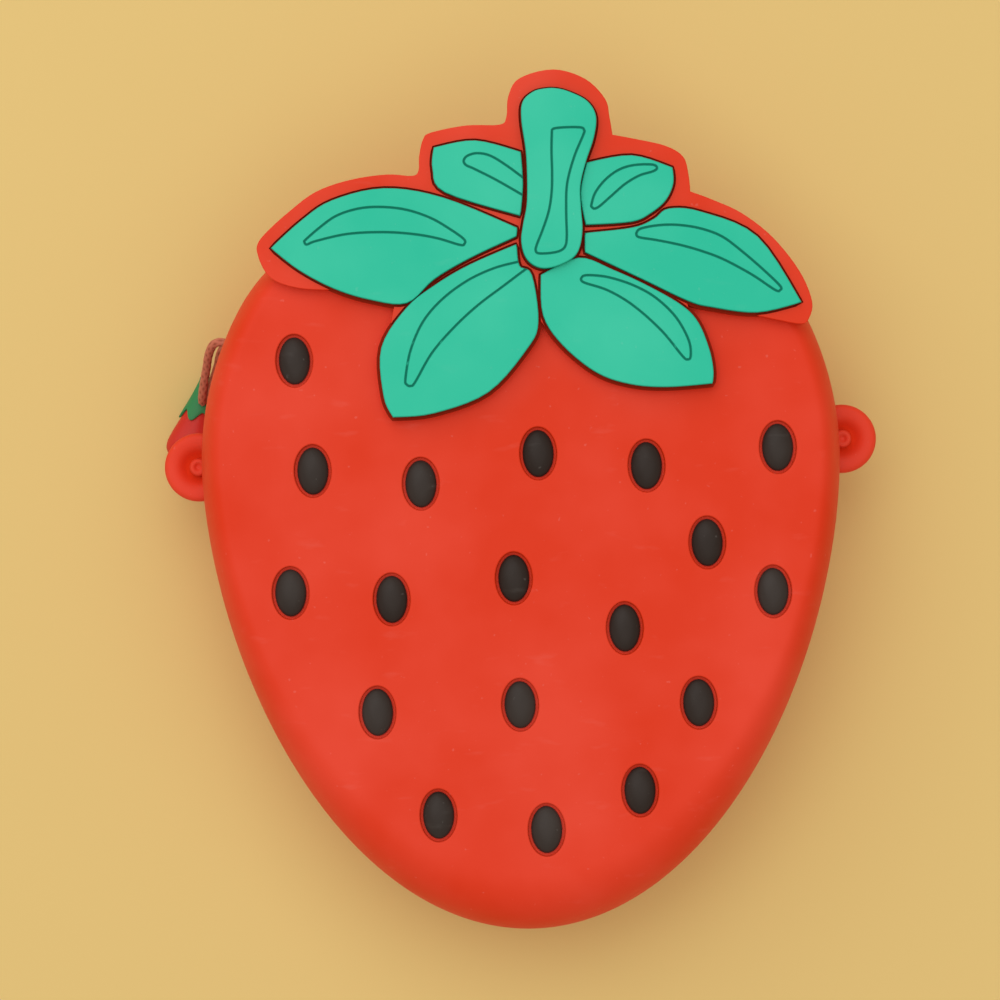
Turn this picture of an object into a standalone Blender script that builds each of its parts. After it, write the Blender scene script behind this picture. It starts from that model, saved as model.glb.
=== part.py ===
"""Strawberry-shaped silicone bag, lying on its back. Metres, +Z out of the front face, +Y towards the stem.

The body is two half shells that meet in a groove round the edge. Over the round top the groove holds a zip,
which runs on an arc about one centre, and below it the shells are bonded. The front shell flexes open at the top.
"""

import math

import bmesh
import bpy
from mathutils import Vector

# Body
BODY_RADIUS = 0.0646
BODY_DEPTH = 0.0951
BODY_THICKNESS = 0.038
LOWER_OUTLINE_POWER = 1.75
TOP_FLAT_SHARE = 0.06
TOP_FLAT_START = 0.5
WALL = 0.0022
FRONT_SIDE_BAND = 0.005
FRONT_TIP_BAND = 0.0118
BACK_SIDE_BAND = 0.015
BACK_TIP_BAND = 0.016
WIDEST_HEIGHT = 0.0066
INNER_WIDEST_HEIGHT = 0.0088
RIM_STEP = 0.0004
FLEX_LINE_SHARE = 0.1161

# Groove round the edge, deeper where it holds the zip
GROOVE_HALF_WIDTH = 0.0044
SEAM_GROOVE_DEPTH = 0.003
ZIP_GROOVE_DEPTH = 0.0055
ZIP_GROOVE_START_DEG = 5.0
ZIP_GROOVE_FULL_DEG = 10.0

# Clearances
GAP = 0.0003
OVERRUN = 0.002

# Mesh fineness
RIM_STEPS = 60
BAND_STEPS = 5
ROLL_STEPS = 3
INNER_BAND_STEPS = 3
OUTLINE_STEP_DEG = 0.5
PLATE_RESOLUTION = 2
LEAF_RESOLUTION = 3
EDGE_RESOLUTION = 1
RECESS_SEGMENTS = 16
SEED_SEGMENTS = 14
SEED_RINGS = 8
LUG_SEGMENTS = 28
LUG_EDGE_SEGMENTS = 2
ROUND_SEGMENTS = 20
TAPE_STEPS = 24
SLIDER_STEPS = 4
WIRE_RESOLUTION = 2
LOOP_STEPS = 2
MERGE_DISTANCE = 0.00001
CORNER_ANGLE_DEG = 58.0
SHARP_ANGLE_DEG = 35.0

# Zip
TAPE_THICKNESS = 0.0006
TAPE_END_DEG = 10.0
TAPE_LEFT_END_DEG = 166.5
TEETH_THICKNESS = 0.0024
TEETH_SLIT_HALF = 0.0006
TEETH_BACKING_HALF = 0.0016
TEETH_OUTER_HALF = 0.0024
TEETH_BACKING_THICKNESS = 0.0012
TEETH_START_DEG = 13.2
TEETH_END_DEG = 161.8
TEETH_COUNT = 36
TOOTH_SHARE = 0.5
TOOTH_SLOPE_SHARE = 0.0625
FRONT_STAGGER_SHARE = 0.25
STOP_LENGTH_DEG = 1.8
RIGHT_STOP_SPACE_DEG = 0.4
LEFT_STOP_SPACE_DEG = 1.2

# Slider, closed at the left end of the zip
SLIDER_REST_DEG = 157.0
SLIDER_LENGTH_DEG = 8.8
SLIDER_HALF_WIDTH = 0.0036
SLIDER_PLATE_THICKNESS = 0.0012
SLIDER_WEB_HALF_THICKNESS = 0.0003
SLIDER_WEB_LENGTH_DEG = 2.8
SLIDER_RAIL_THICKNESS = 0.0009
SLIDER_RAIL_STEP_DEG = 0.3
SLIDER_EDGE_STEP = 0.0001
CROWN_WIRE_RADIUS = 0.0005
CROWN_HALF_LENGTH = 0.0026
CROWN_HEIGHT = 0.0031

# The crown's arch, as shares of its half length and height
CROWN_ROUTE_SHARES = [(-1, 0), (-1, 0.65), (-0.65, 1), (0.65, 1), (1, 0.65), (1, 0)]

# Calyx on the front
PLATE_THICKNESS = 0.002
PLATE_EDGE_ROUND = 0.0008
LEAF_THICKNESS = 0.0013
LEAF_EDGE_ROUND = 0.0004
STEM_THICKNESS = 0.0026
STEM_EDGE_ROUND = 0.0007

# Seeds, each a dome in its own oval recess
SEED_HALF_LENGTH = 0.0047
SEED_HALF_WIDTH = 0.0031
SEED_DOME_HEIGHT = 0.0019
RECESS_MARGIN = 0.0006
RECESS_DEPTH = 0.0012

# Strap lugs and their studs
LUG_RADIUS = 0.007
LUG_THICKNESS = 0.005
LUG_OVERHANG = 0.0012
LEFT_LUG_ABOVE_CENTRE = 0.0002
RIGHT_LUG_ABOVE_CENTRE = 0.0026
LUG_EDGE_ROUND = 0.0012
LUG_RECESS_RADIUS = 0.0034
LUG_RECESS_DEPTH = 0.0015
STUD_RADIUS = 0.0018
STUD_HEIGHT = 0.0019
STUD_DIMPLE_RADIUS = 0.0007
STUD_DIMPLE_DEPTH = 0.0005

# Charm on the cord loop
CORD_RADIUS = 0.0009
CHARM_TOP_FROM_CROWN = (-0.00889, -0.00543, -0.0137)
CHARM_TURN_DROP = 0.0036
CHARM_LENGTH = 0.0185
CHARM_HALF_WIDTH = 0.0052
CHARM_HALF_THICKNESS = 0.0038
CHARM_LEAN_DEG = 13.0
CHARM_SEGMENTS = 20
CAP_THICKNESS = 0.0006
CAP_LENGTH = 0.0087
CAP_LOBES = 5
CAP_LOBE_SHARE = 0.12
CAP_TOP_SHARE = 0.55
CAP_RING_SHARES = (0.0, 0.12, 0.35, 0.65, 1.0)

# The cord loop's route in metres from the crown's foot
LOOP_ROUTE = [
    (-0.00999, -0.00883, -0.0088), (-0.00949, -0.00723, -0.0087), (-0.00859, -0.00523, -0.0082),
    (-0.00779, -0.00283, -0.0070), (-0.00699, -0.00083, -0.0048), (-0.00599, 0.00097, -0.0020),
    (-0.00469, 0.00227, 0.0010), (-0.00339, 0.00237, 0.0024), (-0.00199, 0.00157, 0.0024),
    (-0.00099, 0.00057, 0.0014), (-0.00079, 0.00037, 0.0000), (-0.00099, 0.00017, -0.0014),
    (-0.00199, -0.00033, -0.0025), (-0.00359, -0.00083, -0.0029), (-0.00499, -0.00183, -0.0046),
    (-0.00579, -0.00323, -0.0065), (-0.00659, -0.00603, -0.0081), (-0.00749, -0.00783, -0.0087),
    (-0.00809, -0.00923, -0.0088),
]

# Places across the face, as shares of the body's radius about the zip's centre, +X right and +Y up.
PLATE_OUTLINE_SHARES = [
    (-0.756, 0.576), (-0.777, 0.606), (-0.791, 0.643), (-0.793, 0.675), (-0.768, 0.710), (-0.696, 0.773),
    (-0.608, 0.835), (-0.500, 0.869), (-0.389, 0.882), (-0.312, 0.876), (-0.292, 0.892), (-0.289, 0.934),
    (-0.276, 0.986), (-0.251, 1.007), (-0.143, 1.026), (-0.040, 1.026), (-0.018, 1.050), (-0.011, 1.111),
    (0.024, 1.166), (0.129, 1.191), (0.226, 1.160), (0.286, 1.097), (0.298, 1.042), (0.306, 0.986),
    (0.372, 0.972), (0.467, 0.948), (0.521, 0.913), (0.536, 0.857), (0.540, 0.806), (0.607, 0.779),
    (0.695, 0.736), (0.788, 0.660), (0.868, 0.554), (0.905, 0.458), (0.891, 0.402), (0.866, 0.391),
    (0.805, 0.403), (0.744, 0.418), (0.683, 0.432), (0.607, 0.450), (0.600, 0.470), (0.520, 0.470),
    (0.545, 0.380), (0.575, 0.282), (0.566, 0.236), (0.420, 0.231), (0.291, 0.240), (0.161, 0.311),
    (0.072, 0.418), (0.015, 0.349), (-0.105, 0.223), (-0.267, 0.163), (-0.377, 0.156), (-0.399, 0.206),
    (-0.401, 0.347), (-0.372, 0.505), (-0.470, 0.528), (-0.540, 0.533), (-0.604, 0.534), (-0.665, 0.540),
    (-0.720, 0.555),
]
LEAF_OUTLINE_SHARES = {
    "leaf_left": [
        (-0.748, 0.664), (-0.683, 0.724), (-0.602, 0.783), (-0.503, 0.823), (-0.411, 0.835), (-0.319, 0.826),
        (-0.228, 0.804), (-0.137, 0.772), (-0.058, 0.735), (0.005, 0.702), (0.005, 0.685), (-0.048, 0.664),
        (-0.140, 0.627), (-0.252, 0.562), (-0.322, 0.502), (-0.340, 0.490), (-0.374, 0.489), (-0.450, 0.500),
        (-0.547, 0.531), (-0.632, 0.574), (-0.698, 0.620),
    ],
    "leaf_upper_left": [
        (-0.242, 0.958), (-0.116, 0.976), (0.022, 0.938), (0.026, 0.840), (0.016, 0.745), (-0.212, 0.823),
        (-0.247, 0.894),
    ],
    "leaf_upper_right": [
        (0.225, 0.900), (0.363, 0.918), (0.485, 0.878), (0.480, 0.817), (0.432, 0.741), (0.364, 0.717),
        (0.217, 0.712), (0.204, 0.808),
    ],
    "leaf_right": [
        (0.212, 0.680), (0.364, 0.700), (0.467, 0.752), (0.570, 0.740), (0.740, 0.660), (0.869, 0.457),
        (0.734, 0.430), (0.596, 0.449), (0.503, 0.478), (0.215, 0.622),
    ],
    "leaf_lower_right": [
        (0.190, 0.600), (0.078, 0.562), (0.078, 0.417), (0.148, 0.298), (0.284, 0.224), (0.419, 0.214),
        (0.593, 0.216), (0.592, 0.280), (0.545, 0.370), (0.485, 0.450), (0.340, 0.528),
    ],
    "leaf_lower_left": [
        (0.002, 0.655), (0.009, 0.590), (0.046, 0.561), (0.062, 0.417), (0.027, 0.338), (-0.096, 0.207),
        (-0.264, 0.147), (-0.389, 0.138), (-0.415, 0.203), (-0.418, 0.350), (-0.338, 0.470), (-0.141, 0.595),
    ],
}
STEM_OUTLINE_SHARES = [
    (0.136, 1.127), (0.177, 1.115), (0.229, 1.086), (0.254, 1.040), (0.246, 0.976), (0.220, 0.903),
    (0.201, 0.830), (0.201, 0.760), (0.204, 0.699), (0.195, 0.644), (0.174, 0.611), (0.128, 0.588),
    (0.085, 0.581), (0.051, 0.593), (0.028, 0.621), (0.019, 0.667), (0.026, 0.716), (0.040, 0.789),
    (0.041, 0.926), (0.029, 1.034), (0.034, 1.089), (0.065, 1.118), (0.099, 1.127),
]
SEED_PLACE_SHARES = [
    (-0.691, 0.320), (0.792, 0.015), (0.053, 0.015), (0.386, -0.031), (-0.643, -0.021), (-0.311, -0.069),
    (0.567, -0.273), (-0.032, -0.368), (0.766, -0.429), (-0.721, -0.395), (-0.410, -0.423), (0.306, -0.530),
    (0.528, -0.766), (-0.023, -0.758), (-0.463, -0.770), (0.340, -1.032), (-0.283, -1.092), (0.049, -1.145),
]

# The fruit's width from its shoulder to its tip, as shares (of its length, of its greatest width)
CHARM_PROFILE_SHARES = [
    (0.0, 0.20), (0.10, 0.40), (0.25, 0.66), (0.40, 0.86), (0.55, 0.98), (0.66, 1.0), (0.78, 0.90), (0.89, 0.64),
    (0.97, 0.30),
]

# Heights and centres that follow from the sizes above
CENTRE_Y = (BODY_DEPTH - max(y for _, y in PLATE_OUTLINE_SHARES) * BODY_RADIUS) / 2
MIDDLE_Z = BODY_THICKNESS / 2
FACE_Z = BODY_THICKNESS
FLEX_LINE_Y = CENTRE_Y + BODY_RADIUS * FLEX_LINE_SHARE
TAPE_OUTER_RADIUS = BODY_RADIUS - ZIP_GROOVE_DEPTH - GAP
TAPE_INNER_RADIUS = TAPE_OUTER_RADIUS - TAPE_THICKNESS
ZIP_RADIUS = (TAPE_OUTER_RADIUS + TAPE_INNER_RADIUS) / 2
TEETH_OUTER_RADIUS = ZIP_RADIUS + TEETH_THICKNESS / 2
TEETH_INNER_RADIUS = ZIP_RADIUS - TEETH_THICKNESS / 2
SLIDER_OUTER_FACE = TEETH_OUTER_RADIUS + GAP
SLIDER_INNER_FACE = TEETH_INNER_RADIUS - GAP
SLIDER_TOP_RADIUS = SLIDER_OUTER_FACE + SLIDER_PLATE_THICKNESS
CROWN_BASE_RADIUS = SLIDER_TOP_RADIUS + GAP
CROWN_TURN = math.radians(SLIDER_REST_DEG)
CROWN_FOOT = Vector(
    (CROWN_BASE_RADIUS * math.cos(CROWN_TURN), CENTRE_Y + CROWN_BASE_RADIUS * math.sin(CROWN_TURN), MIDDLE_Z)
)
CHARM_TOP = CROWN_FOOT + Vector(CHARM_TOP_FROM_CROWN)
LUG_CENTRE_X = BODY_RADIUS + LUG_OVERHANG


def clear_scene():
    for obj in list(bpy.data.objects):
        bpy.data.objects.remove(obj, do_unlink=True)


def make_collection(name):
    collection = bpy.data.collections.new(name)
    bpy.context.scene.collection.children.link(collection)
    return collection


def make_material(name, colour, roughness, metallic=0.0):
    material = bpy.data.materials.new(name)
    material.use_nodes = True
    shader = material.node_tree.nodes["Principled BSDF"]
    shader.inputs["Base Color"].default_value = (*colour, 1.0)
    shader.inputs["Roughness"].default_value = roughness
    shader.inputs["Metallic"].default_value = metallic
    return material


def add_object(name, data, material, collection):
    obj = bpy.data.objects.new(name, data)
    data.materials.append(material)
    collection.objects.link(obj)
    return obj


def mesh_from(name, bm):
    bmesh.ops.recalc_face_normals(bm, faces=bm.faces)
    mesh = bpy.data.meshes.new(name)
    bm.to_mesh(mesh)
    bm.free()
    return mesh


def add_cutter(name, bm):
    cutter = bpy.data.objects.new(name, mesh_from(name, bm))
    CUTTERS.objects.link(cutter)
    cutter.hide_render = True
    cutter.display_type = "WIRE"
    return cutter


def boolean(obj, other, operation="DIFFERENCE"):
    modifier = obj.modifiers.new(f"{operation.lower()}_{other.name}", "BOOLEAN")
    modifier.operation = operation
    modifier.object = other
    modifier.solver = "EXACT"
    return modifier


def smooth_step(value):
    value = min(1.0, max(0.0, value))
    return value * value * (3 - 2 * value)


def outline_point(angle):
    """A point of the body's outline about the zip's centre: a flattened half circle above, a rounded tip below."""
    if math.sin(angle) >= 0:
        flat = smooth_step((math.sin(angle) - TOP_FLAT_START) / (1 - TOP_FLAT_START))
        radius = BODY_RADIUS * (1 - TOP_FLAT_SHARE * flat)
        return Vector((radius * math.cos(angle), radius * math.sin(angle), 0))
    down = -math.sin(angle)
    half_width = BODY_RADIUS * math.sqrt(max(0.0, 1 - down**LOWER_OUTLINE_POWER))
    return Vector((math.copysign(half_width, math.cos(angle)), -BODY_DEPTH * down, 0))


def inward_normal(angle):
    step = math.radians(OUTLINE_STEP_DEG)
    along = outline_point(angle + step) - outline_point(angle - step)
    return Vector((-along.y, along.x, 0)).normalized()


def zip_share(angle):
    """1 where the groove holds the zip, 0 where the shells are bonded."""
    above_side = math.degrees(math.asin(max(-1.0, min(1.0, math.sin(angle)))))
    return smooth_step((above_side - ZIP_GROOVE_START_DEG) / (ZIP_GROOVE_FULL_DEG - ZIP_GROOVE_START_DEG))


def shell_section(angle, side_band, tip_band):
    """The wall's section as (inset, height over the middle), from the outer face round the rim to the inner face."""
    half = BODY_THICKNESS / 2
    lower = max(0.0, -math.sin(angle)) ** 2
    band = side_band + (tip_band - side_band) * lower
    held = zip_share(angle)
    zip_depth = ZIP_GROOVE_DEPTH - (BODY_RADIUS - outline_point(angle).length)
    depth = SEAM_GROOVE_DEPTH + (zip_depth - SEAM_GROOVE_DEPTH) * held
    section = []
    for step in range(BAND_STEPS + 1):
        turn = math.pi / 2 * (1 - step / BAND_STEPS)
        section.append((band * (1 - math.cos(turn)), WIDEST_HEIGHT + (half - WIDEST_HEIGHT) * math.sin(turn)))
    for step in range(1, ROLL_STEPS + 1):
        turn = math.pi / 2 * step / ROLL_STEPS
        roll = (WIDEST_HEIGHT - GROOVE_HALF_WIDTH) * math.sin(turn)
        section.append((depth * (1 - math.cos(turn)), WIDEST_HEIGHT - roll))
    rim = depth + WALL * (1 - held)
    seam = GAP / 2
    section.append((depth, seam + (GROOVE_HALF_WIDTH + RIM_STEP - seam) * held))
    section.append((rim, seam + (GROOVE_HALF_WIDTH + WALL - seam) * held))
    section.append((rim, GROOVE_HALF_WIDTH + WALL + RIM_STEP))
    for step in range(INNER_BAND_STEPS + 1):
        turn = math.pi / 2 * step / INNER_BAND_STEPS
        section.append(
            (
                band - (band - WALL) * math.cos(turn),
                INNER_WIDEST_HEIGHT + (half - WALL - INNER_WIDEST_HEIGHT) * math.sin(turn),
            )
        )
    return section


def loft(rings):
    """A closed solid through rings of as many points each, capped at both ends."""
    bm = bmesh.new()
    rows = [[bm.verts.new(point) for point in ring] for ring in rings]
    for first, second in zip(rows, rows[1:]):
        count = len(first)
        for k in range(count):
            after = (k + 1) % count
            bm.faces.new((first[k], first[after], second[after], second[k]))
    bm.faces.new(rows[0])
    bm.faces.new(rows[-1])
    return bm


def shell_mesh(name, side_band, tip_band, facing):
    """A half shell: facing is 1 for the front and -1 for the back."""
    angles = [2 * math.pi * (k + 0.5) / RIM_STEPS for k in range(RIM_STEPS)]
    sections = [shell_section(angle, side_band, tip_band) for angle in angles]
    rings = []
    for row in range(len(sections[0])):
        ring = []
        for angle, section in zip(angles, sections):
            inset, height = section[row]
            point = outline_point(angle) + inward_normal(angle) * inset
            ring.append(point + Vector((0, CENTRE_Y, MIDDLE_Z + facing * height)))
        rings.append(ring)
    return mesh_from(name, loft(rings))


def arc_point(radius, degrees, height):
    angle = math.radians(degrees)
    return Vector((radius * math.cos(angle), CENTRE_Y + radius * math.sin(angle), MIDDLE_Z + height))


def arc_bar(stations):
    """A bar along the zip's arc. Each station is (degrees, inner radius, outer radius, low, high)."""
    rings = []
    for degrees, inner, outer, low, high in stations:
        rings.append(
            [
                arc_point(inner, degrees, low),
                arc_point(outer, degrees, low),
                arc_point(outer, degrees, high),
                arc_point(inner, degrees, high),
            ]
        )
    return loft(rings)


def plain_arc(start, end, inner, outer, low, high, steps):
    return arc_bar([(start + (end - start) * k / steps, inner, outer, low, high) for k in range(steps + 1)])


def box(low, high):
    bm = bmesh.new()
    bmesh.ops.create_cube(bm, size=1.0)
    low, high = Vector(low), Vector(high)
    for vert in bm.verts:
        vert.co = Vector((low[k] + (high[k] - low[k]) * (vert.co[k] + 0.5) for k in range(3)))
    return bm


def ellipse_cylinder(centre, half_x, half_y, low, high, segments):
    bm = bmesh.new()
    bmesh.ops.create_cone(bm, cap_ends=True, segments=segments, radius1=1.0, radius2=1.0, depth=1.0)
    for vert in bm.verts:
        vert.co = Vector(
            (centre.x + vert.co.x * half_x, centre.y + vert.co.y * half_y, low + (high - low) * (vert.co.z + 0.5))
        )
    return bm


def face_place(shares, height):
    return Vector((shares[0] * BODY_RADIUS, CENTRE_Y + shares[1] * BODY_RADIUS, height))


def add_flat_piece(name, shares, thickness, base, edge_round, material, resolution):
    """A flat piece of the face from its outline, with a rounded edge. Sharp turns stay corners."""
    curve = bpy.data.curves.new(name, "CURVE")
    curve.dimensions = "2D"
    curve.fill_mode = "BOTH"
    curve.resolution_u = resolution
    curve.extrude = thickness / 2 - edge_round
    curve.bevel_depth = edge_round
    curve.bevel_resolution = EDGE_RESOLUTION
    curve.offset = -edge_round
    spline = curve.splines.new("BEZIER")
    spline.bezier_points.add(len(shares) - 1)
    points = [face_place(share, 0) for share in shares]
    for k, point in enumerate(points):
        before = point - points[k - 1]
        after = points[(k + 1) % len(points)] - point
        corner = before.angle(after) > math.radians(CORNER_ANGLE_DEG)
        bezier = spline.bezier_points[k]
        bezier.co = point
        bezier.handle_left_type = bezier.handle_right_type = "VECTOR" if corner else "AUTO"
    spline.use_cyclic_u = True
    obj = add_object(name, curve, material, PARTS)
    obj.location.z = base + thickness / 2
    return obj


def parent_to(empty, objects):
    bpy.context.view_layer.update()
    for obj in objects:
        obj.parent = empty
        obj.matrix_parent_inverse = empty.matrix_world.inverted()


def add_axis(name, place):
    empty = bpy.data.objects.new(name, None)
    empty.location = place
    PARTS.objects.link(empty)
    return empty


def add_shells():
    """The back shell, and the front shell in two halves that meet at the flex line. Returns the front ones."""
    add_object("back_shell", shell_mesh("back_shell", BACK_SIDE_BAND, BACK_TIP_BAND, -1), RED, PARTS)
    front = []
    reach = BODY_DEPTH + OVERRUN
    for name in ("front_shell_lower", "front_shell_upper"):
        mesh = shell_mesh(name, FRONT_SIDE_BAND, FRONT_TIP_BAND, 1)
        front.append(add_object(name, mesh, RED, PARTS))
    lower, upper = front
    above = add_cutter(
        "above_flex_line",
        box((-reach, FLEX_LINE_Y - GAP / 2, MIDDLE_Z - OVERRUN), (reach, CENTRE_Y + reach, FACE_Z + OVERRUN)),
    )
    below = add_cutter(
        "below_flex_line",
        box((-reach, CENTRE_Y - reach, MIDDLE_Z - OVERRUN), (reach, FLEX_LINE_Y + GAP / 2, FACE_Z + OVERRUN)),
    )
    boolean(lower, above)
    boolean(upper, below)
    return lower, upper


def add_seeds(lower, upper):
    """Eighteen domes in oval recesses. Returns those above the flex line."""
    above = []
    for number, shares in enumerate(SEED_PLACE_SHARES, 1):
        name = f"seed_{number:02d}"
        place = face_place(shares, FACE_Z - RECESS_DEPTH + GAP)
        cutter = add_cutter(
            f"recess_{number:02d}",
            ellipse_cylinder(
                place,
                SEED_HALF_WIDTH + RECESS_MARGIN,
                SEED_HALF_LENGTH + RECESS_MARGIN,
                FACE_Z - RECESS_DEPTH,
                FACE_Z + OVERRUN,
                RECESS_SEGMENTS,
            ),
        )
        over = place.y > FLEX_LINE_Y
        boolean(upper if over else lower, cutter)
        bm = bmesh.new()
        bmesh.ops.create_uvsphere(bm, u_segments=SEED_SEGMENTS, v_segments=SEED_RINGS, radius=1.0)
        cut = bmesh.ops.bisect_plane(
            bm, geom=bm.verts[:] + bm.edges[:] + bm.faces[:], plane_co=(0, 0, 0), plane_no=(0, 0, -1), clear_outer=True
        )
        edges = [item for item in cut["geom_cut"] if isinstance(item, bmesh.types.BMEdge)]
        bmesh.ops.contextual_create(bm, geom=edges)
        for vert in bm.verts:
            vert.co = Vector(
                (vert.co.x * SEED_HALF_WIDTH, vert.co.y * SEED_HALF_LENGTH, vert.co.z * SEED_DOME_HEIGHT)
            )
        seed = add_object(name, mesh_from(name, bm), BLACK, PARTS)
        seed.location = place
        if over:
            above.append(seed)
    return above


def add_calyx():
    """The plate, and the leaves and the stem on it. Returns them all."""
    base = FACE_Z + GAP
    top = base + PLATE_THICKNESS + GAP
    pieces = [
        add_flat_piece(
            "calyx_plate", PLATE_OUTLINE_SHARES, PLATE_THICKNESS, base, PLATE_EDGE_ROUND, RED, PLATE_RESOLUTION
        ),
        add_flat_piece("stem", STEM_OUTLINE_SHARES, STEM_THICKNESS, top, STEM_EDGE_ROUND, GREEN, LEAF_RESOLUTION),
    ]
    for name, shares in LEAF_OUTLINE_SHARES.items():
        pieces.append(add_flat_piece(name, shares, LEAF_THICKNESS, top, LEAF_EDGE_ROUND, GREEN, LEAF_RESOLUTION))
    return pieces


def add_zip():
    """Both tapes and both rows of teeth. Returns the front ones."""
    front = []
    for side, facing in (("back", -1), ("front", 1)):
        heights = sorted((facing * (TEETH_OUTER_HALF + GAP), facing * (GROOVE_HALF_WIDTH + WALL)))
        tape = plain_arc(TAPE_END_DEG, TAPE_LEFT_END_DEG, TAPE_INNER_RADIUS, TAPE_OUTER_RADIUS, *heights, TAPE_STEPS)
        name = f"zip_tape_{side}"
        tape = add_object(name, mesh_from(name, tape), TAPE_RED, PARTS)
        pitch = (TEETH_END_DEG - TEETH_START_DEG) / TEETH_COUNT
        wide = (TEETH_INNER_RADIUS, TEETH_OUTER_RADIUS)
        narrow = (ZIP_RADIUS - TEETH_BACKING_THICKNESS / 2, ZIP_RADIUS + TEETH_BACKING_THICKNESS / 2)
        stagger = pitch * FRONT_STAGGER_SHARE if facing > 0 else 0.0
        slope = pitch * TOOTH_SLOPE_SHARE
        stations = []
        for tooth in range(TEETH_COUNT):
            start = TEETH_START_DEG + tooth * pitch + stagger
            end = start + pitch * TOOTH_SHARE
            for degrees, (inner, outer), near in (
                (start - slope, narrow, TEETH_BACKING_HALF),
                (start, wide, TEETH_SLIT_HALF),
                (end, wide, TEETH_SLIT_HALF),
                (end + slope, narrow, TEETH_BACKING_HALF),
            ):
                low, high = sorted((facing * near, facing * TEETH_OUTER_HALF))
                stations.append((degrees, inner, outer, low, high))
        name = f"zip_teeth_{side}"
        teeth = add_object(name, mesh_from(name, arc_bar(stations)), DARK_METAL, PARTS)
        if facing > 0:
            front = [tape, teeth]
    for name, start in (
        ("zip_stop_right", TEETH_START_DEG - RIGHT_STOP_SPACE_DEG - STOP_LENGTH_DEG),
        ("zip_stop_left", TEETH_END_DEG + LEFT_STOP_SPACE_DEG),
    ):
        bar = plain_arc(
            start,
            start + STOP_LENGTH_DEG,
            TEETH_INNER_RADIUS,
            TEETH_OUTER_RADIUS,
            -TEETH_OUTER_HALF,
            TEETH_OUTER_HALF,
            1,
        )
        add_object(name, mesh_from(name, bar), DARK_METAL, PARTS)
    return front


def add_slider():
    """The slider's body, two plates joined by a web and with rails round the teeth, and the crown over it.

    Returns both, and the place under the crown where the cord turns.
    """
    start = SLIDER_REST_DEG - SLIDER_LENGTH_DEG / 2
    end = start + SLIDER_LENGTH_DEG
    outer_plate = plain_arc(
        start, end, SLIDER_OUTER_FACE, SLIDER_TOP_RADIUS, -SLIDER_HALF_WIDTH, SLIDER_HALF_WIDTH, SLIDER_STEPS
    )
    body = add_object("slider_body", mesh_from("slider_body", outer_plate), DARK_METAL, PARTS)
    inner_low = SLIDER_INNER_FACE - SLIDER_PLATE_THICKNESS
    sunk = SLIDER_PLATE_THICKNESS / 2
    rail_low = SLIDER_HALF_WIDTH - SLIDER_RAIL_THICKNESS
    web_start = start + GAP / ZIP_RADIUS
    web = plain_arc(
        web_start,
        web_start + SLIDER_WEB_LENGTH_DEG,
        inner_low + sunk,
        SLIDER_TOP_RADIUS - sunk,
        -SLIDER_WEB_HALF_THICKNESS,
        SLIDER_WEB_HALF_THICKNESS,
        1,
    )
    boolean(body, add_cutter("slider_web", web), "UNION")
    inner_plate = plain_arc(
        start, end, inner_low, SLIDER_INNER_FACE, -SLIDER_HALF_WIDTH, SLIDER_HALF_WIDTH, SLIDER_STEPS
    )
    boolean(body, add_cutter("slider_inner_plate", inner_plate), "UNION")
    for side, facing in (("back", -1), ("front", 1)):
        low, high = sorted((facing * rail_low, facing * (SLIDER_HALF_WIDTH - SLIDER_EDGE_STEP)))
        rail = (start + SLIDER_RAIL_STEP_DEG, end - SLIDER_RAIL_STEP_DEG)
        outer_rail = plain_arc(*rail, TAPE_OUTER_RADIUS + GAP, SLIDER_OUTER_FACE + sunk, low, high, SLIDER_STEPS)
        boolean(body, add_cutter(f"slider_outer_rail_{side}", outer_rail), "UNION")
        inner_rail = plain_arc(*rail, SLIDER_INNER_FACE - sunk, TAPE_INNER_RADIUS - GAP, low, high, SLIDER_STEPS)
        boolean(body, add_cutter(f"slider_inner_rail_{side}", inner_rail), "UNION")

    outward = arc_point(1.0, SLIDER_REST_DEG, 0) - arc_point(0.0, SLIDER_REST_DEG, 0)
    along = Vector((-outward.y, outward.x, 0))
    inset = CROWN_HALF_LENGTH - CROWN_WIRE_RADIUS
    height = CROWN_HEIGHT - CROWN_WIRE_RADIUS
    route = [CROWN_FOOT + along * (side * inset) + outward * (rise * height) for side, rise in CROWN_ROUTE_SHARES]
    crown = add_round_wire("slider_crown", route, CROWN_WIRE_RADIUS, DARK_METAL)
    return [body, crown], CROWN_FOOT + outward * CORD_RADIUS


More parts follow.
